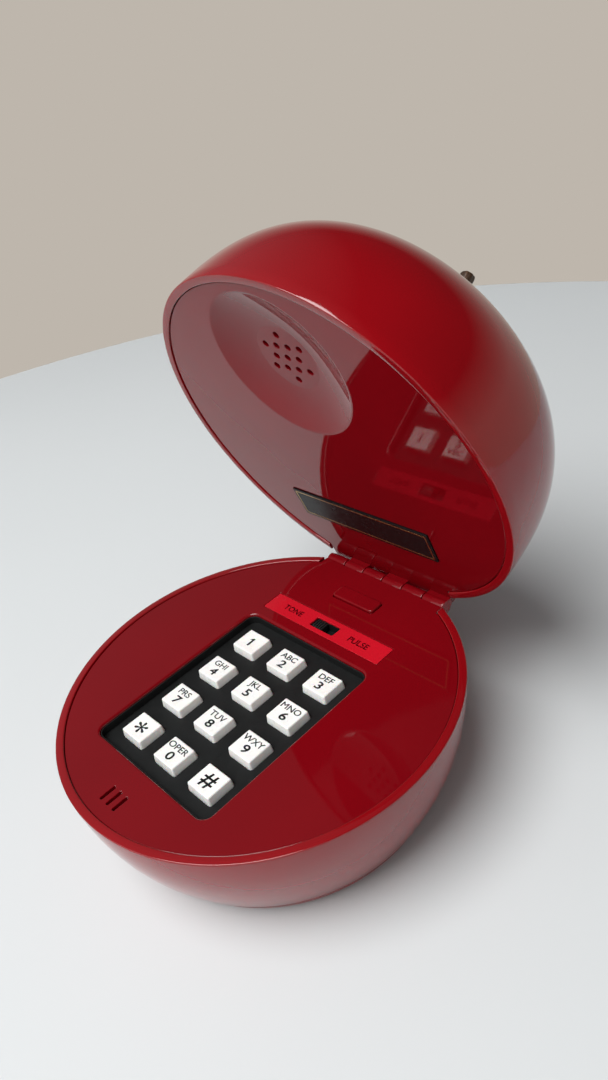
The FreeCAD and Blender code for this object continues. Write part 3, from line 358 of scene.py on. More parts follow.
def lathe(profile, steps, x=0.0, y=0.0):
    """A surface turned about an upright axis; the profile's first and last points may lie on the axis."""
    made, last = Solid(), None
    turns = [2 * math.pi * i / steps for i in range(steps)]
    for index, (radius, height) in enumerate(profile):
        if radius < 1e-6:
            if last is not None:
                made.cap(last, (x, y, height), True)
            tip = (x, y, height)
            continue
        ring = made.ring([(x + radius * math.cos(t), y + radius * math.sin(t), height) for t in turns])
        if last is not None:
            made.band(last, ring)
        elif index == 1:
            made.cap(ring, tip, False)
        last = ring
    return made


def piece(name, solid, body, material, slot):
    """Makes the object, in metres, on its body, with its finish."""
    if body == "lid":
        solid.shifted(lambda p: LID_OPEN @ p)
    mesh = bpy.data.meshes.new(name)
    mesh.from_pydata([p * MM for p in solid.spots], [], solid.faces)
    mesh.validate()
    for face in mesh.polygons:
        face.use_smooth = face.index not in solid.flat
    return finished(bpy.data.objects.new(name, mesh), body, material, slot)


def finished(thing, body, material, slot):
    bpy.context.scene.collection.objects.link(thing)
    thing.data.materials.clear()
    thing.data.materials.append(material)
    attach(thing, body)
    return thing


def carved(thing, cutters):
    """Cuts closed solids out of a piece and keeps the result as its mesh."""
    for solid in cutters:
        if thing["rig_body"] == "lid":
            solid.shifted(lambda p: LID_OPEN @ p)
        mesh = bpy.data.meshes.new("cutter")
        mesh.from_pydata([p * MM for p in solid.spots], [], solid.faces)
        tool = bpy.data.objects.new("cutter", mesh)
        bpy.context.scene.collection.objects.link(tool)
        cut = thing.modifiers.new("cut", "BOOLEAN")
        cut.operation, cut.solver, cut.object = "DIFFERENCE", "EXACT", tool
        bpy.context.view_layer.update()
        shaped = bpy.data.meshes.new_from_object(thing.evaluated_get(bpy.context.evaluated_depsgraph_get()))
        thing.modifiers.remove(cut)
        thing.data = shaped
        bpy.data.objects.remove(tool)
    thing.data.set_sharp_from_angle(angle=math.radians(40))
    return thing


def brick(x, y, z, wide, deep, tall):
    """A closed box in mm, as a cutter, centred on x and y and standing on z."""
    outline = square_outline(x, y, wide, deep, 0.05, 1)(0)
    made = Solid()
    low, high = made.ring(at_height(outline, z)), made.ring(at_height(outline, z + tall))
    made.band(low, high)
    made.cap(low, centre_of(outline, z), False)
    made.cap(high, centre_of(outline, z + tall), True)
    return made


def bar(y, z, radius, low_x, high_x, steps=64, rounding=0.0):
    """A round bar along X, with rounded ends if asked."""
    core = radius - rounding
    profile = [(0, low_x), (core, low_x)]
    if rounding:
        profile += [(core + rounding * math.sin(t), low_x + rounding - rounding * math.cos(t))
                    for t in quarter_turns(4, range(1, 5))]
        profile += [(core + rounding * math.cos(t), high_x - rounding + rounding * math.sin(t))
                    for t in quarter_turns(4, range(5))]
    else:
        profile += [(radius, high_x)]
    return lathe(profile + [(0, high_x)], steps).shifted(lambda p: Vector((p.z, y + p.x, z + p.y)))


def arc_points(a, b, centre, steps):
    """Points along the short arc from a to b about a centre."""
    start = math.atan2(a[1] - centre[1], a[0] - centre[0])
    end = math.atan2(b[1] - centre[1], b[0] - centre[0])
    reach = math.hypot(a[0] - centre[0], a[1] - centre[1])
    return [(centre[0] + reach * math.cos(start + (end - start) * i / steps),
             centre[1] + reach * math.sin(start + (end - start) * i / steps)) for i in range(steps + 1)]


# ---------------------------------------------------------------- finishes

class Nodes:
    """A material under construction, with its shader."""

    def __init__(self, name, **sockets):
        self.material = bpy.data.materials.new(name)
        self.material.use_nodes = True
        self.tree = self.material.node_tree
        self.shader = self.tree.nodes["Principled BSDF"]
        for socket, value in sockets.items():
            self.shader.inputs[socket.replace("_", " ")].default_value = value
        self.place = self.add("ShaderNodeTexCoord").outputs["Object"]

    def add(self, kind, **settings):
        node = self.tree.nodes.new(kind)
        for key, value in settings.items():
            setattr(node, key, value)
        return node

    def link(self, source, target):
        self.tree.links.new(source, target)

    def cloud(self, scale, detail=3.0, rough=0.5, stretch=None):
        """Noise about one over scale metres across, stretched along an axis if asked."""
        made = self.add("ShaderNodeTexNoise")
        made.inputs["Scale"].default_value = scale
        made.inputs["Detail"].default_value = detail
        made.inputs["Roughness"].default_value = rough
        place = self.place
        if stretch:
            mapping = self.add("ShaderNodeMapping")
            mapping.inputs["Scale"].default_value = stretch
            self.link(place, mapping.inputs["Vector"])
            place = mapping.outputs["Vector"]
        self.link(place, made.inputs["Vector"])
        return made.outputs["Fac"]

    def paint(self, source, stops):
        """The base colour along a value."""
        node = self.add("ShaderNodeValToRGB")
        ramp = node.color_ramp
        while len(ramp.elements) < len(stops):
            ramp.elements.new(0.5)
        for element, (spot, tint) in zip(ramp.elements, stops):
            element.position, element.color = spot, (*tint, 1.0)
        self.link(source, node.inputs["Fac"])
        self.link(node.outputs["Color"], self.shader.inputs["Base Color"])

    def gloss(self, source, low, high):
        """The roughness runs from low to high as the source goes from 0.3 to 0.7."""
        made = self.add("ShaderNodeMapRange")
        for socket, value in (("From Min", 0.3), ("From Max", 0.7), ("To Min", low), ("To Max", high)):
            made.inputs[socket].default_value = value
        self.link(source, made.inputs["Value"])
        self.link(made.outputs["Result"], self.shader.inputs["Roughness"])

    def bump(self, source, depth):
        """Relief of the given depth in metres."""
        made = self.add("ShaderNodeBump")
        made.inputs["Strength"].default_value = 1.0
        made.inputs["Distance"].default_value = depth
        self.link(source, made.inputs["Height"])
        self.link(made.outputs["Normal"], self.shader.inputs["Normal"])


def tinted(tint, factor):
    return tuple(min(1.0, c * factor) for c in tint)


def clouded(tint, low, high):
    """Stops from a darker to a lighter shade of one colour."""
    return [(0.3, tinted(tint, low)), (0.7, tinted(tint, high))]


def glossy_plastic(name, tint, rough=(0.04, 0.09), vary=0.1, index=1.46):
    """Polished moulding: faint flow clouds in the colour, fine wipe marks in the gloss."""
    made = Nodes(name, IOR=index)
    made.paint(made.cloud(18.0, 2.0), clouded(tint, 1 - vary, 1 + vary))
    made.gloss(made.cloud(260.0, 4.0, 0.65, (1.0, 0.25, 1.0)), *rough)
    made.bump(made.cloud(95.0, 1.0, 0.4), 0.000012)
    return made.material


def satin_plastic(name, tint, rough=(0.38, 0.52), grain=1500.0, vary=0.1, index=1.46):
    """Moulding with a fine spark-eroded grain."""
    made = Nodes(name, IOR=index)
    made.paint(made.cloud(45.0, 3.0), clouded(tint, 1 - vary, 1 + vary))
    made.gloss(made.cloud(grain / 3, 2.0), *rough)
    made.bump(made.cloud(grain, 2.0, 0.6), 0.00002)
    return made.material


def key_plastic(name, tint):
    """White key moulding, slightly see-through at its edges."""
    made = Nodes(name, IOR=1.5, Subsurface_Weight=0.12, Subsurface_Scale=0.0015, Coat_Weight=0.15,
                 Coat_Roughness=0.12)
    made.paint(made.cloud(60.0, 3.0), [(0.3, tinted(tint, 0.95)), (0.72, tinted(tint, 1.03))])
    made.gloss(made.cloud(420.0, 4.0, 0.6), 0.22, 0.36)
    made.bump(made.cloud(2200.0, 1.0), 0.000006)
    return made.material


def printed_ink(name, tint):
    """Screen-printed ink with slightly uneven cover."""
    made = Nodes(name, IOR=1.45)
    made.paint(made.cloud(900.0, 3.0), [(0.25, tint), (0.8, tinted(tint, 1.6))])
    made.gloss(made.cloud(1500.0), 0.3, 0.5)
    return made.material


def rubber(name, tint, grain=1100.0):
    """Moulded rubber, matt, with a little bloom."""
    made = Nodes(name, IOR=1.5, Sheen_Weight=0.12, Sheen_Roughness=0.5)
    made.paint(made.cloud(70.0, 4.0), clouded(tint, 0.8, 1.3))
    made.gloss(made.cloud(300.0), 0.62, 0.82)
    made.bump(made.cloud(grain, 2.0), 0.00004)
    return made.material


def metal(name, tint, rough=(0.22, 0.38)):
    """Plated or turned metal with fine drawn lines."""
    made = Nodes(name, Metallic=1.0)
    made.paint(made.cloud(120.0, 3.0), clouded(tint, 0.85, 1.1))
    lines = made.cloud(300.0, 3.0, 0.6, (1.0, 12.0, 12.0))
    made.gloss(lines, *rough)
    made.bump(lines, 0.000008)
    return made.material


def circuit_board(name):
    """Paper laminate under green resist, with faint tracks."""
    made = Nodes(name, IOR=1.5, Coat_Weight=0.3, Coat_Roughness=0.15)
    tracks = made.add("ShaderNodeTexVoronoi", feature="DISTANCE_TO_EDGE")
    tracks.inputs["Scale"].default_value = 140.0
    made.link(made.place, tracks.inputs["Vector"])
    made.paint(tracks.outputs["Distance"], [(0.06, (0.05, 0.16, 0.05)), (0.12, (0.02, 0.075, 0.03))])
    made.gloss(made.cloud(400.0), 0.25, 0.4)
    made.bump(tracks.outputs["Distance"], 0.00004)
    return made.material


def stem_bark(name, tint):
    """Dark moulded bark: drawn-out streaks with lighter worn ridges."""
    made = Nodes(name, IOR=1.48)
    streaks = made.cloud(700.0, 4.0, 0.6, (1.0, 0.12, 0.3))
    made.paint(streaks, [(0.25, tinted(tint, 0.5)), (0.55, tint), (0.8, tinted(tint, 3.2))])
    made.gloss(streaks, 0.28, 0.5)
    made.bump(streaks, 0.00012)
    return made.material


def pale_floor(name, tint):
    """The stage's matt table top, all but even."""
    made = Nodes(name, IOR=1.3, Specular_IOR_Level=0.25)
    made.paint(made.cloud(3.0, 2.0), clouded(tint, 0.985, 1.015))
    made.gloss(made.cloud(50.0), 0.55, 0.65)
    return made.material


MADE = {}


def finish_of(name):
    """Each finish is made once, from the scene's colours."""
    tints = bpy.context.scene.phone_colours
    makers = {
        "shell_red": lambda: glossy_plastic("Casing gloss red", tuple(tints.shell), index=1.6),
        "plate_red": lambda: glossy_plastic("Face plate gloss red", tuple(tints.plate), (0.02, 0.06), 0.08),
        "strip_red": lambda: glossy_plastic("Switch strip red", tuple(tints.strip), (0.12, 0.22), 0.1),
        "hook_red": lambda: glossy_plastic("Hook button red", tuple(tints.plate), (0.05, 0.1), 0.1),
        "key_white": lambda: key_plastic("Key cap white", tuple(tints.key)),
        "panel_black": lambda: satin_plastic("Key panel black", tinted(tints.black, 0.7), (0.4, 0.55),
                                             index=1.3),
        "legend": lambda: printed_ink("Key legend ink", tuple(tints.black)),
        "strip_words": lambda: printed_ink("Strip word ink", tuple(tints.words)),
        "switch_black": lambda: satin_plastic("Switch body black", tinted(tints.black, 0.6), index=1.3),
        "slider_black": lambda: satin_plastic("Switch slider black", tinted(tints.black, 0.9), (0.25, 0.4)),
        "badge_black": lambda: glossy_plastic("Nameplate black", tinted(tints.black, 0.6), (0.2, 0.3), 0.2,
                                              index=1.2),
        "badge_gold": lambda: metal("Nameplate gold border", tuple(tints.gold), (0.3, 0.42)),
        "stem_brown": lambda: stem_bark("Stem bark", tuple(tints.stem)),
        "stem_end": lambda: satin_plastic("Stem cut end", (0.30, 0.20, 0.11), vary=0.35, grain=900.0),
        "mat_rubber": lambda: rubber("Contact mat rubber", (0.30, 0.30, 0.31)),
        "boot_rubber": lambda: rubber("Microphone boot rubber", (0.02, 0.02, 0.02)),
        "pad_rubber": lambda: rubber("Base pad rubber", (0.03, 0.03, 0.03), 700.0),
        "board_green": lambda: circuit_board("Circuit board"),
        "component_mix": lambda: satin_plastic("Board components", (0.05, 0.05, 0.055)),
        "screw_steel": lambda: metal("Screw plating", (0.62, 0.60, 0.55)),
        "pin_steel": lambda: metal("Hinge pin steel", (0.65, 0.65, 0.66), (0.15, 0.28)),
        "ballast_steel": lambda: metal("Ballast steel", (0.30, 0.30, 0.31), (0.45, 0.6)),
        "capsule_metal": lambda: metal("Microphone can", (0.75, 0.75, 0.76)),
        "receiver_metal": lambda: metal("Receiver can", (0.52, 0.52, 0.54)),
        "ringer_brass": lambda: metal("Ringer brass", (0.72, 0.55, 0.24)),
        "jack_plastic": lambda: satin_plastic("Line jack plastic", (0.02, 0.02, 0.021)),
        "cap_plastic": lambda: satin_plastic("Receiver cap plastic", (0.03, 0.03, 0.03)),
        "gasket_foam": lambda: rubber("Receiver foam ring", (0.03, 0.03, 0.032), 500.0),
        "floor": lambda: pale_floor("Pale floor", tuple(bpy.context.scene.phone_stage.floor)),
    }
    if name not in MADE:
        MADE[name] = makers[name]()
    return MADE[name]


# ---------------------------------------------------------------- pieces

def hinge_clear():
    """Cutters for the hinge barrel and its webs: a pair for the base's shell and a pair for the lid's."""
    half, middle, deep, clear = HINGE_HALF + 0.6, PIN.y - 2.05, 9.3, 4.8
    low, high = (PIN.z - BARREL, RIM + 1), (LID_RIM - 1, LID_FACE + PLATE_THICK + 0.15)
    return [[bar(PIN.y, PIN.z, clear, -half, half, 96), brick(0, middle, foot, 2 * half, deep, top - foot)]
            for foot, top in (low, high)]


def lip_line(radius, edge, height, out, up, numbers):
    """Part of a rim's rounding, from its side to its flat; out and up are 1 or -1, the ways it faces."""
    return [(radius - out * edge + out * edge * math.cos(t), height - up * edge + up * edge * math.sin(t))
            for t in quarter_turns(5, numbers)]


class PHONE_OT_lower_shell(Operator):
    """Round base shell with its rim, foot, screw wells and the window for the line jack"""

    bl_idname = "phone.lower_shell"
    bl_label = "Lower shell"

    def execute(self, context):
        shape = context.scene.phone_shape
        edge, inner, under = shape.edge, RIM_RADIUS - WALL, FACE - PLATE_THICK
        side = arc_points((RIM_RADIUS, RIM - edge), HEEL, self.belly(), 56)
        turn = [(FOOT[0] + HEEL_WIDE * math.sin(t), FOOT[1] + HEEL_TALL * (1 - math.cos(t)))
                for t in quarter_turns(10, range(11))]
        pad = corners("base_pad")[1].x + 0.2
        wall_in = [(r - WALL, max(z, 4.2)) for r, z in side if 6 < z < 36]
        profile = ([(0, PAD_RECESS), (pad, PAD_RECESS), (pad, FOOT[1] + 0.2), (pad + 0.2, FOOT[1])]
                   + turn + side[::-1][1:]
                   + lip_line(RIM_RADIUS, edge, RIM, 1, 1, range(1, 5))
                   + lip_line(inner, edge, RIM, -1, 1, range(5, -1, -1))
                   + [(inner, under), (inner - LEDGE, under), (inner - LEDGE, under - LEDGE)]
                   + wall_in + [(47.0, BASE_FLOOR), (0, BASE_FLOOR)])
        shell = piece("lower_shell_look", lathe(profile, shape.round_steps), "base", finish_of("shell_red"),
                      "shell_red")
        jack_low, jack_high = corners("line_jack")
        window = brick(0, 60, jack_low.z - 0.2, jack_high.x * 2 + 0.4, 24, jack_high.z - jack_low.z + 0.4)
        well = [(0, 0), (WELL_RADIUS, 0), (WELL_RADIUS, WELL_DEEP), (0, WELL_DEEP)]
        carved(shell, hinge_clear()[0] + [window] + [lathe(well, 40, x, y) for x, y in CASE_SCREWS])
        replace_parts(shell, "lower_shell")
        tubes = Solid()
        for x, y in CASE_SCREWS:
            tubes.join(lathe([(WELL_RADIUS, 1.2), (WELL_RADIUS, WELL_DEEP), (WELL_HOLE, WELL_DEEP),
                              (WELL_HOLE, WELL_DEEP + 4)], 40, x, y))
        piece("screw_wells", tubes, "base", finish_of("shell_red"), "shell_red")
        return {"FINISHED"}

    @staticmethod
    def belly():
        """Centre of the arc of the base's side."""
        mid = ((RIM_RADIUS + HEEL[0]) / 2, (RIM + HEEL[1]) / 2)
        run = (HEEL[0] - RIM_RADIUS, HEEL[1] - RIM)
        chord = math.hypot(*run)
        reach = math.sqrt(BELLY ** 2 - chord ** 2 / 4)
        return mid[0] + run[1] / chord * reach, mid[1] - run[0] / chord * reach


class PHONE_OT_upper_shell(Operator):
    """Domed lid shell with the hollow that the stem stands in"""

    bl_idname = "phone.upper_shell"
    bl_label = "Upper shell"

    def execute(self, context):
        shape = context.scene.phone_shape
        seat = 5.0  # radius of the hollow's flat seat for the stem
        outside, inside_line = self.outline(0.0, seat), self.outline(WALL, seat + WALL)
        inner, edge, ledge = RIM_RADIUS - WALL, shape.edge, LID_FACE + PLATE_THICK
        walls = [(r, z) for r, z in inside_line if z > ledge + 2 * LEDGE][::-1]
        profile = ([(0, walls[0][1])] + walls
                   + [(inner - LEDGE, ledge + LEDGE), (inner - LEDGE, ledge), (inner, ledge)]
                   + lip_line(inner, edge, LID_RIM, -1, -1, range(5))
                   + lip_line(RIM_RADIUS, edge, LID_RIM, 1, -1, range(5, 0, -1))
                   + [(r, z) for r, z in outside if z > LID_RIM + edge + 0.05] + [(0, outside[-1][1])])
        shell = piece("upper_shell_look", lathe(profile, shape.round_steps), "lid", finish_of("shell_red"),
                      "shell_red")
        carved(shell, hinge_clear()[1])
        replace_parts(shell, "upper_shell")
        return {"FINISHED"}

    @staticmethod
    def outline(inset, last, power=2.72):
        """Radius and height from the rim, over the shoulder and down into the stem's hollow."""
        radius, rise = RIM_RADIUS - inset, LID_TOP - LID_RIM - inset
        edge = SHOULDER + inset
        end = math.acos((edge / radius) ** (power / 2))
        line = []
        for i in range(73):
            turn = end * (i / 72) ** 0.9
            line.append((radius * math.cos(turn) ** (2 / power),
                         LID_RIM + rise * math.sin(turn) ** (2 / power) if turn else LID_RIM))
        crest = line[-1][1]
        floor = LID_TOP - STEM_HOLLOW - inset
        slope = (line[-1][1] - line[-2][1]) / (line[-1][0] - line[-2][0])
        for i in range(1, 25):
            run = i / 24
            spot = edge - (edge - last) * run
            fall = run ** 2 * (3 - 2 * run)
            line.append((spot, crest + (spot - edge) * slope * (1 - run) ** 2 - (crest - floor) * fall))
        return line


class PHONE_OT_key_plate(Operator):
    """Red face plate of the base, with the keypad's recess and the holes for strip, hook and mouth"""

    bl_idname = "phone.key_plate"
    bl_label = "Key plate"

    def execute(self, context):
        shape, under = context.scene.phone_shape, FACE - PLATE_THICK
        panel, strip, hook = footprint("key_panel"), footprint("switch_strip"), footprint("hook_button")
        holes = [
            (square_outline(0, panel[1], panel[2] - RECESS_IN, panel[3] - RECESS_IN, 3.5, 10), 0.8,
             PANEL_TOP),
            (square_outline(0, strip[1], strip[2] + 0.3, strip[3] + 0.3, 0.4), 0.2, FACE - 0.65),
            (square_outline(0, hook[1], 18.8, 6.2, 1.2), 0.25, under),
        ]
        holes += [(square_outline(x, MOUTH_Y, MOUTH_WIDE, MOUTH_LONG, 0.5), 0.18, under)
                  for x in (-MOUTH_PITCH, 0, MOUTH_PITCH)]
        outer = tabbed_outline(PLATE_RADIUS, HINGE_HALF, BASE_TAB)
        made = piece("key_plate_look", plate(outer, holes, FACE, under, shape.edge * 0.8), "base",
                     finish_of("plate_red"), "plate_red")
        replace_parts(made, "key_plate")
        window = square_outline(0, strip[1], 13.0, 6.0, 0.3)
        seat = plate(square_outline(0, strip[1], 54.2, 8.7, 0.3), [(window, 0.05, under)], FACE - 0.66, under,
                     0.05)
        piece("strip_seat", seat, "base", finish_of("plate_red"), "plate_red")
        return {"FINISHED"}


class PHONE_OT_ear_plate(Operator):
    """Red face plate of the lid, with the shallow dish and the holes of the earpiece"""

    bl_idname = "phone.ear_plate"
    bl_label = "Ear plate"

    def execute(self, context):
        shape = context.scene.phone_shape
        edge, seat_edge, hole_edge = 0.3, 0.15, 0.18
        _, badge_y, badge_wide, badge_deep = footprint("nameplate")

        def ring_at(radius, height):
            return at_height(round_outline(0, DISH_Y, radius, 128)(0), height)

        made = Solid()
        outline = tabbed_outline(PLATE_RADIUS, HINGE_HALF, LID_TAB)
        bowl = self.bowl(shape.lip)
        seat = square_outline(0, badge_y, badge_wide + 0.3, badge_deep + 0.3, 0.4)
        mouth = round_outline(0, DISH_Y, bowl[0][0], 128)(0)
        rings = made.sheet(outline(-edge), [mouth, seat(seat_edge)], 0)
        side = [at_height(outline(out - edge), -down) for out, down in quarter(edge)]
        made.onward(rings[0], side + [at_height(outline(0), -PLATE_THICK)], swapped=True)
        made.onward(rings[1], [ring_at(radius, height) for radius, height in bowl[1:]])
        holes = [round_outline(x, y, EAR_HOLE, 24) for x, y in self.holes()]
        floor = made.sheet(round_outline(0, DISH_Y, DISH_FLOOR, 128)(0), [hole(hole_edge) for hole in holes],
                           -DISH_DEEP)
        for hole, last in zip(holes, floor[1:]):
            made.onward(last, down_hole(hole, hole_edge, -DISH_DEEP, -DISH_DEEP - PLATE_THICK, 3))
        made.onward(rings[2], down_hole(seat, seat_edge, 0, -0.9, 3))
        made.shifted(lambda p: Vector((p.x, p.y, LID_FACE - p.z)), mirrored=True)
        thing = piece("ear_plate_look", made, "lid", finish_of("plate_red"), "plate_red")
        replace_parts(thing, "ear_plate")
        return {"FINISHED"}

    @staticmethod
    def bowl(lip, steps=48):
        """Radius and height down the dish, softened at its lip."""
        made, wide = [], DISH_RADIUS - DISH_FLOOR
        for i in range(steps + 1):
            radius = DISH_RADIUS + lip - (DISH_RADIUS + lip - DISH_FLOOR) * (i / steps)
            run = max(0.0, min(1.0, (DISH_RADIUS - radius) / wide))
            drop = run * (1.6 - 0.6 * run)
            soft = 0.25 * lip * 1.6 / wide * max(0.0, 1 - abs(radius - DISH_RADIUS) / lip) ** 2
            made.append((radius, -DISH_DEEP * (drop + soft)))
        made[0] = (made[0][0], 0.0)
        return made

    @staticmethod
    def holes():
        """Middles of one hole, the six next to it, and the six beyond those."""
        row = EAR_PITCH * math.sqrt(3) / 2
        spots = [((across + along / 2) * EAR_PITCH, along * row)
                 for across in range(-2, 3) for along in range(-2, 3)]
        return [(x, DISH_Y + y) for x, y in spots if math.hypot(x, y) < 1.8 * EAR_PITCH]


class PHONE_OT_hinge(Operator):
    """Barrel hinge: three knuckles with their webs on each face plate"""

    bl_idname = "phone.hinge"
    bl_label = "Hinge knuckles"

    def execute(self, context):
        y, z, r = PIN.y, PIN.z, BARREL
        middle = LID_FACE + PLATE_THICK / 2
        front, sunk = y - 3.4, FACE - 0.03  # a little below the face, so the two don't lie in one plane
        base_web = [(front, FACE - 1.2), (front, sunk), (y - 0.6 * r, sunk), (y, z),
                    (y - 0.2 * r, z - 0.85 * r), (y - 0.8 * r, FACE - PLATE_THICK)]
        lid_web = [(y - 0.6 * r, middle), (y - 0.6 * r, LID_FACE), (y - 0.85 * r, z + r / 2), (y, z),
                   (y + 0.85 * r, z + r / 2), (LID_TAB, LID_FACE), (LID_TAB, middle)]
        for body, first, web in (("base", 0, base_web), ("lid", 1, lid_web)):
            made = Solid()
            for i in range(first, 6, 2):
                spot = (i - 2.5) * KNUCKLE_PITCH
                made.join(bar(y, z, r, spot - KNUCKLE_HALF, spot + KNUCKLE_HALF, 64, 0.3))
                made.join(self.slab(web, spot - KNUCKLE_HALF + 0.02, spot + KNUCKLE_HALF - 0.02))
            piece("%s_knuckles" % body, made, body, finish_of("plate_red"), "plate_red")
        return {"FINISHED"}

    @staticmethod
    def slab(outline, low, high):
        """A flat-sided web, its outline in Y and Z, with chamfered ends."""
        made = Solid()
        centre = centre_of(outline, 0)
        shrink = [(centre[0] + (y - centre[0]) * 0.94, centre[1] + (z - centre[1]) * 0.94)
                  for y, z in outline]
        rings = [made.ring([(x, y, z) for y, z in line]) for x, line in (
            (low, shrink), (low + 0.15, outline), (high - 0.15, outline), (high, shrink))]
        for a, b in zip(rings, rings[1:]):
            made.band(b, a)
        made.faces.append(tuple(rings[0]))
        made.faces.append(tuple(reversed(rings[-1])))
        made.flat |= set(range(len(made.faces)))
        return made


class PHONE_OT_keys(Operator):
    """Twelve white key caps with printed digits and letters"""

    bl_idname = "phone.keys"
    bl_label = "Keys"

    def execute(self, context):
        shape = context.scene.phone_shape
        for node, (digit, letters) in KEYS.items():
            low, high = corners(node)
            x, y, wide, deep = footprint(node)
            cap = self.cap(x, y, wide - 2.0, deep - 2.0, low.z + 1.0, high.z, shape)
            cap = piece(node + "_cap", cap, node, finish_of("key_white"), "key_white")
            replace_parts(cap, node)

            def print_height(px, py, x=x, y=y, top=high.z):
                return self.dip(px - x, py - y, top, shape.key_dish) + PRINT

            if letters:
                lettering(node + "_letters", letters, shape.letter_size, x, y + 1.95, print_height, node,
                          0.045, stretch=1.18)
                lettering(node + "_digit", digit, shape.digit_size, x, y - 1.45, print_height, node,
                          0.085, stretch=1.35)
            else:
                size = shape.digit_size * {"*": 2.3, "#": 1.7, "1": 1.2}.get(digit, 1.0)
                lettering(node + "_digit", digit, size, x, y - 0.2, print_height, node, 0.1, stretch=1.15)
            if digit == "1":
                flag = Solid()
                tips = [(x + dx, y + dy) for dx, dy in ((-1.2, 0.45), (-0.1, 1.1), (-0.1, 1.6), (-1.2, 0.85))]
                flag.faces.append(tuple(flag.ring([(px, py, print_height(px, py)) for px, py in tips])))
                piece(node + "_flag", flag, node, finish_of("legend"), "key_white")
        return {"FINISHED"}

    @staticmethod
    def dip(x, y, top, depth):
        """Height of a key's top at a place from its middle."""
        return top - depth * max(0.0, 1 - (x / 4.3) ** 2) * max(0.0, 1 - (y / 3.8) ** 2)

    @staticmethod
    def cap(x, y, wide, deep, foot, top, shape):
        """A key cap with sloping sides, a rounded top edge and a dished top."""
        made, edge, slope, inner_rings = Solid(), shape.key_edge, math.tan(math.radians(8.4)), 16

        def outline(grow, height):
            taper = max(0.0, height - PANEL_TOP) * slope
            return at_height(square_outline(x, y, wide, deep, shape.key_corner, 6, 16)(grow - taper), height)

        last = made.ring(outline(0, foot))
        made.cap(last, (x, y, foot), False)
        last = made.onward(last, [outline(0, PANEL_TOP), outline(0, top - edge)])
        last = made.onward(last, [outline(-edge * (1 - math.cos(t)), top - edge * (1 - math.sin(t)))
                                  for t in quarter_turns(6, range(1, 7))])
        reach = [(made.spots[i].x - x, made.spots[i].y - y) for i in last]
        dip, depth = PHONE_OT_keys.dip, shape.key_dish
        rows = [[(x + px * share, y + py * share, dip(px * share, py * share, top, depth))
                 for px, py in reach] for share in (1 - i / inner_rings for i in range(1, inner_rings))]
        made.cap(made.onward(last, rows), (x, y, top - depth), True)
        return made


def lettering(name, words, size, x, y, height_at, body, weight, finish="legend", slot="key_white",
              stretch=1.0):
    """Printed type, laid on a surface and made into a mesh."""
    curve = bpy.data.curves.new(name, "FONT")
    curve.body, curve.size = words, size
    curve.align_x, curve.align_y = "CENTER", "CENTER"
    curve.bevel_depth, curve.bevel_resolution, curve.resolution_u = weight, 1, 4
    text = bpy.data.objects.new(name + "_type", curve)
    bpy.context.scene.collection.objects.link(text)
    bpy.context.view_layer.update()
    mesh = bpy.data.meshes.new_from_object(text.evaluated_get(bpy.context.evaluated_depsgraph_get()))
    bpy.data.objects.remove(text)
    middle_x = (min(v.co.x for v in mesh.vertices) + max(v.co.x for v in mesh.vertices)) / 2
    middle_y = (min(v.co.y for v in mesh.vertices) + max(v.co.y for v in mesh.vertices)) / 2
    for vertex in mesh.vertices:
        px, py = x + (vertex.co.x - middle_x) * stretch, y + vertex.co.y - middle_y
        vertex.co = Vector((px, py, height_at(px, py))) * MM
    mesh.name = name
    return finished(bpy.data.objects.new(name, mesh), body, finish_of(finish), slot)


class PHONE_OT_key_panel(Operator):
    """Black panel that the keys stand in"""

    bl_idname = "phone.key_panel"
    bl_label = "Key panel"

    def execute(self, context):
        _, y, wide, deep = footprint("key_panel")
        bottom, gap = PANEL_TOP - 1.5, 1.6
        spots = [footprint(node) for node in KEYS]
        holes = [(square_outline(hx, hy, hole_wide - gap, hole_deep - gap, 1.2), 0.2, bottom)
                 for hx, hy, hole_wide, hole_deep in spots]
        outer = square_outline(0, y, wide, deep, 0.5)
        made = piece("key_panel_look", plate(outer, holes, PANEL_TOP, bottom, 0.1), "base",
                     finish_of("panel_black"), "panel_black")
        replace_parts(made, "key_panel")
        wide, deep, thick = wide - RECESS_IN - 0.1, deep - RECESS_IN - 0.1, 0.8
        opening = square_outline(0, y, wide - thick, deep - thick, 3.05, 10)
        lining = plate(square_outline(0, y, wide, deep, 3.45, 10), [(opening, 0.1, PANEL_TOP)],
                       FACE - 0.9, PANEL_TOP - 0.1, 0.1)
        piece("recess_lining", lining, "base", finish_of("panel_black"), "panel_black")
        return {"FINISHED"}


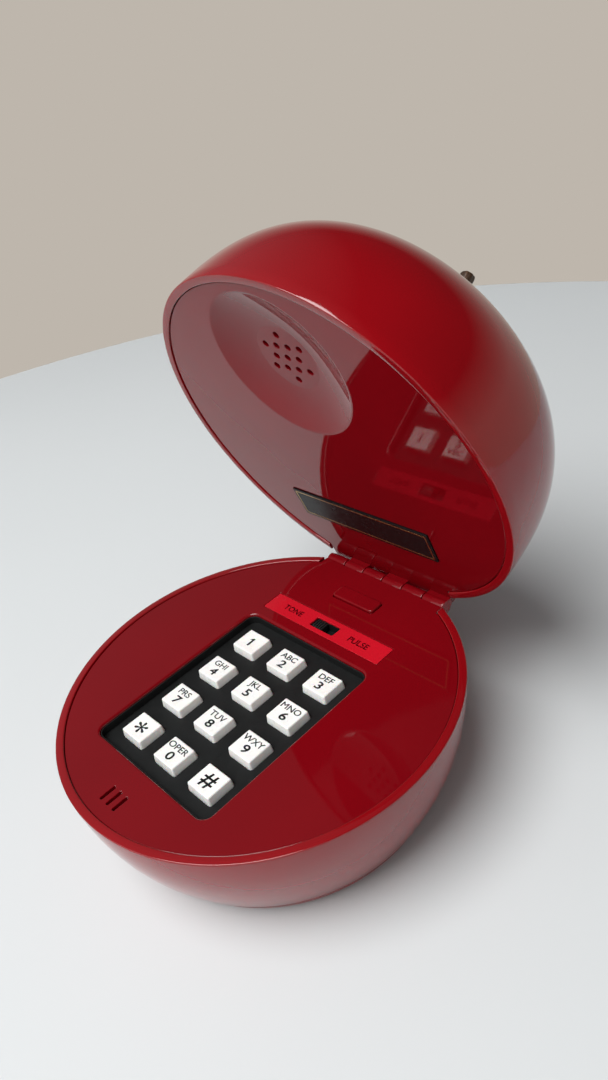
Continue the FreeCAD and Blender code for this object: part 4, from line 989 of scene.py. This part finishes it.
class PHONE_OT_switches(Operator):
    """Inlaid switch strip with its faint words, the mode slider and the hook button"""

    bl_idname = "phone.switches"
    bl_label = "Switch strip, slider and hook button"

    def execute(self, context):
        low, high = corners("switch_strip")
        _, y, wide, deep = footprint("switch_strip")
        strip = plate(square_outline(0, y, wide, deep, 0.35),
                      [(square_outline(0, y, *STRIP_HOLE, 0.5), 0.15, low.z)], high.z, low.z, 0.15)
        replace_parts(piece("switch_strip_look", strip, "base", finish_of("strip_red"), "strip_red"),
                    "switch_strip")
        for words, x in (("TONE", -15.4), ("PULSE", 15.4)):
            lettering("word_" + words.lower(), words, 3.3, x, y, lambda px, py: high.z + 0.015, "base", 0.03,
                      "strip_words", "strip_red")
        self.slider()
        self.hook()
        return {"FINISHED"}

    @staticmethod
    def slider():
        """The slider's block with four finger ribs across it."""
        low, high = corners("mode_slider")
        x, y, wide, deep = footprint("mode_slider")
        made = plate(square_outline(x, y, wide, deep, 0.4), [], high.z - 0.55, low.z, 0.12)
        for step in (-1.45, -0.48, 0.48, 1.45):
            rib = square_outline(x + step, y, 0.62, deep - 0.3, 0.25)
            made.join(plate(rib, [], high.z, high.z - 0.7, 0.18))
        slider = piece("mode_slider_look", made, "mode_slider", finish_of("slider_black"),
                       SLOTS["mode_slider"])
        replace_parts(slider, "mode_slider")

    @staticmethod
    def hook():
        """The hook button's rounded cap, without the collar that the face plate hides."""
        _, y, wide, deep = footprint("hook_button")
        collar, top = 2.0, corners("hook_button")[1].z
        made = plate(square_outline(0.0, y, wide - collar, deep - collar, 1.2, 8), [], top,
                     FACE - PLATE_THICK - 1.0, 0.5)
        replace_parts(piece("hook_button_look", made, "hook_button", finish_of("hook_red"), "hook_red"),
                    "hook_button")


class PHONE_OT_nameplate(Operator):
    """Blank black nameplate with a thin gold border"""

    bl_idname = "phone.nameplate"
    bl_label = "Nameplate"

    def execute(self, context):
        _, y, wide, deep = footprint("nameplate")
        front = corners("nameplate")[0].z

        def turned_over(solid):
            return solid.shifted(lambda p: Vector((p.x, p.y, front - p.z)), mirrored=True)

        base = turned_over(plate(square_outline(0, y, wide, deep, 0.4), [], 0, -0.8, 0.15))
        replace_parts(piece("nameplate_look", base, "lid", finish_of("badge_black"), "badge_black"),
                    "nameplate")
        outer, inner = wide - 1.7, wide - 2.7
        line = turned_over(plate(square_outline(0, y, outer, deep - 1.7, 0.5),
                                 [(square_outline(0, y, inner, deep - 2.7, 0.35), 0.02, -0.02)], 0.03,
                                 -0.02, 0.02))
        piece("nameplate_border", line, "lid", finish_of("badge_gold"), "badge_black")
        return {"FINISHED"}


class PHONE_OT_stem(Operator):
    """Curved ridged stem in the hollow of the lid, with a paler cut end"""

    bl_idname = "phone.stem"
    bl_label = "Stem"

    def execute(self, context):
        shape = context.scene.phone_shape
        seat, lean, steps, around = LID_TOP - STEM_HOLLOW, 5.0, 64, 64
        long = corners("stem")[1].z - seat
        rows, made = [], Solid()
        for i in range(steps + 1):
            share = i / steps
            thick = 2.3 + 0.4 * (2 * share - 1) ** 2
            if share > 0.97:
                thick -= 0.35 * ((share - 0.97) / 0.03) ** 2
            tilt = math.atan2(2 * lean * share, long)
            middle = Vector((0, -lean * share ** 2, seat + (long - 0.6) * share))
            row = []
            for turn in (2 * math.pi * j / around for j in range(around)):
                ridge = noise.noise(Vector((math.cos(turn) * 2.4, math.sin(turn) * 2.4, share * 2.2)))
                reach = thick + shape.stem_ridge * (ridge * 1.6 - 0.5) + 0.05 * math.sin(share * 23 + turn)
                row.append(middle + Vector((reach * math.cos(turn), reach * math.sin(turn) * math.cos(tilt),
                                            reach * math.sin(turn) * math.sin(tilt))))
            rows.append(row)
        made.onward(made.ring(rows[0]), rows[1:])
        thing = piece("stem_look", made, "lid", finish_of("stem_brown"), "stem_brown")
        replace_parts(thing, "stem")
        end, tip = Solid(), [p.copy() for p in rows[-1]]
        centre = sum(tip, Vector()) / len(tip)
        last = end.onward(end.ring(tip), [[centre + (p - centre) * share + Vector((0, 0, sink)) for p in tip]
                                          for share, sink in ((0.85, 0.02), (0.6, -0.12), (0.3, -0.2))])
        end.cap(last, centre + Vector((0, 0, -0.22)), True)
        piece("stem_cut_end", end, "lid", finish_of("stem_end"), "stem_brown")
        return {"FINISHED"}


class PHONE_OT_line_jack(Operator):
    """Line jack's gold contacts"""

    bl_idname = "phone.line_jack"
    bl_label = "Line jack contacts"

    def execute(self, context):
        high, radius, pitch = corners("line_jack")[1], 0.28, 1.25
        bends = [(high.y - 1.6, high.z - 2.9), (high.y - 4.0, high.z - 3.4), (high.y - 8.5, high.z - 6.0)]
        made = Solid()
        for x in ((i - 1.5) * pitch for i in range(4)):
            rows = [[(x + radius * math.cos(t), y, z + radius * math.sin(t))
                     for t in (math.pi * j / 5 for j in range(10))] for y, z in bends]
            made.onward(made.ring(rows[0]), rows[1:])
        piece("jack_contacts", made, "base", finish_of("badge_gold"), "jack_plastic")
        return {"FINISHED"}


class PHONE_OT_inner_parts(Operator):
    """Finishes of the CAD pieces that keep their own shape"""

    bl_idname = "phone.inner_parts"
    bl_label = "Finishes of the other pieces"

    def execute(self, context):
        for node, thing in frame["nodes"].items():
            finish = finish_of(SLOTS[node])
            if not thing.material_slots:
                thing.data.materials.append(finish)
            for slot in thing.material_slots:
                slot.material = finish
        for node in ("base_pad", "line_jack", "case_screws"):
            bevel = frame["nodes"][node].modifiers.new("edges", "BEVEL")
            bevel.width, bevel.segments, bevel.limit_method = 0.00025, 3, "ANGLE"
            bevel.angle_limit = math.radians(40)
        return {"FINISHED"}


class PHONE_OT_stage(Operator):
    """Pale floor, soft lamps and the camera"""

    bl_idname = "phone.stage"
    bl_label = "Stage"

    def execute(self, context):
        stage = context.scene.phone_stage
        radius = stage.floor_radius / MM
        middle_x, middle_y = -23, -56  # the table top's, in mm
        top = lathe([(0, -12), (radius - 12, -12), (radius - 4, -9), (radius, -4), (radius - 1, -1),
                     (radius - 4, 0), (radius * 0.5, 0), (0, 0)], 256, middle_x, middle_y)
        mesh = bpy.data.meshes.new("floor")
        mesh.from_pydata([p * MM for p in top.spots], [], top.faces)
        floor = bpy.data.objects.new("floor", mesh)
        context.scene.collection.objects.link(floor)
        mesh.materials.append(finish_of("floor"))
        self.surround(context.scene, stage)
        context.scene.view_settings.view_transform = "Standard"

        aim = Vector((0, 0.03, 0.05))
        for name, spot, size, power in (
            ("overhead lamp", (-0.02, -0.62, 1.4), 1.1, 25.0),
            ("window lamp", (-0.30, -1.15, 1.0), 1.3, 4.5),
            ("side fill", (0.85, -1.0, 1.0), 1.3, 4.0),
        ):
            data = bpy.data.lights.new(name, "AREA")
            data.shape, data.size, data.energy = "DISK", size, power * stage.light_strength
            lamp = bpy.data.objects.new(name, data)
            lamp.location = spot
            lamp.rotation_euler = (aim - Vector(spot)).to_track_quat("-Z", "Y").to_euler()
            context.scene.collection.objects.link(lamp)

        self.camera(context.scene, stage)
        return {"FINISHED"}

    @staticmethod
    def surround(scene, stage):
        """A backdrop at the horizon under a dim room that is lighter on its left."""
        world = bpy.data.worlds.new("soft surround")
        scene.world = world
        world.use_nodes = True
        tree = world.node_tree

        def ramp(direction, stops):
            place, along = tree.nodes.new("ShaderNodeTexCoord"), tree.nodes.new("ShaderNodeVectorMath")
            along.operation = "DOT_PRODUCT"
            along.inputs[1].default_value = direction
            colours = tree.nodes.new("ShaderNodeValToRGB")
            tree.links.new(place.outputs["Generated"], along.inputs[0])
            tree.links.new(along.outputs["Value"], colours.inputs["Fac"])
            for element, (spot, tint) in zip(colours.color_ramp.elements, stops):
                element.position, element.color = spot, (*tint, 1)
            return colours.outputs["Color"]

        room = ramp((-0.6, -0.7, 0.35), [(0.0, tinted(stage.air_high, 0.12)), (0.6, tuple(stage.air_high))])
        height = ramp((0.0, 0.0, 1.0), [(0.05, (0, 0, 0)), (0.4, (1, 1, 1))])
        mix = tree.nodes.new("ShaderNodeMix")
        mix.data_type = "RGBA"
        mix.inputs["A"].default_value = (*stage.air, 1)
        tree.links.new(height, mix.inputs["Factor"])
        tree.links.new(room, mix.inputs["B"])
        tree.links.new(mix.outputs["Result"], tree.nodes["Background"].inputs["Color"])

    @staticmethod
    def camera(scene, stage):
        data = bpy.data.cameras.new("camera")
        data.lens, data.sensor_width, data.sensor_fit = stage.lens, 36.0, "AUTO"
        data.clip_start, data.clip_end = 0.01, 50.0
        camera = bpy.data.objects.new("camera", data)
        spot = Vector((0.1695, -0.0959, 0.2173))
        right, down = Vector((0.6855, 0.7012, -0.1961)), Vector((0.2867, -0.5075, -0.8126))
        back = right.cross(-down)
        turn = Matrix((right.normalized(), (-down).normalized(), back.normalized())).transposed()
        camera.matrix_world = Matrix.Translation(spot) @ turn.to_4x4()
        scene.collection.objects.link(camera)
        scene.camera = camera


OPERATORS = (
    PHONE_OT_lower_shell, PHONE_OT_upper_shell, PHONE_OT_key_plate, PHONE_OT_ear_plate, PHONE_OT_hinge,
    PHONE_OT_keys, PHONE_OT_key_panel, PHONE_OT_switches, PHONE_OT_nameplate, PHONE_OT_stem,
    PHONE_OT_line_jack, PHONE_OT_inner_parts, PHONE_OT_stage,
)


class PHONE_PT_pieces(Panel):
    """Sidebar panel that lists the telephone's pieces"""

    bl_label = "Telephone"
    bl_idname = "PHONE_PT_pieces"
    bl_space_type = "VIEW_3D"
    bl_region_type = "UI"
    bl_category = "Telephone"

    def draw(self, context):
        for kind in OPERATORS:
            self.layout.operator(kind.bl_idname)
        for group in (context.scene.phone_shape, context.scene.phone_colours, context.scene.phone_stage):
            for key in type(group).__annotations__:
                self.layout.prop(group, key)


GROUPS = (PhoneShape, PhoneColours, PhoneStage)


def register():
    for kind in GROUPS + OPERATORS + (PHONE_PT_pieces,):
        bpy.utils.register_class(kind)
    bpy.types.Scene.phone_shape = PointerProperty(type=PhoneShape)
    bpy.types.Scene.phone_colours = PointerProperty(type=PhoneColours)
    bpy.types.Scene.phone_stage = PointerProperty(type=PhoneStage)


def unregister():
    for key in ("phone_stage", "phone_colours", "phone_shape"):
        delattr(bpy.types.Scene, key)
    for kind in reversed(GROUPS + OPERATORS + (PHONE_PT_pieces,)):
        bpy.utils.unregister_class(kind)


def main():
    """Makes every piece in order."""
    register()
    for kind in OPERATORS:
        section, name = kind.bl_idname.split(".")
        getattr(getattr(bpy.ops, section), name)()


if __name__ == "__main__":
    main()
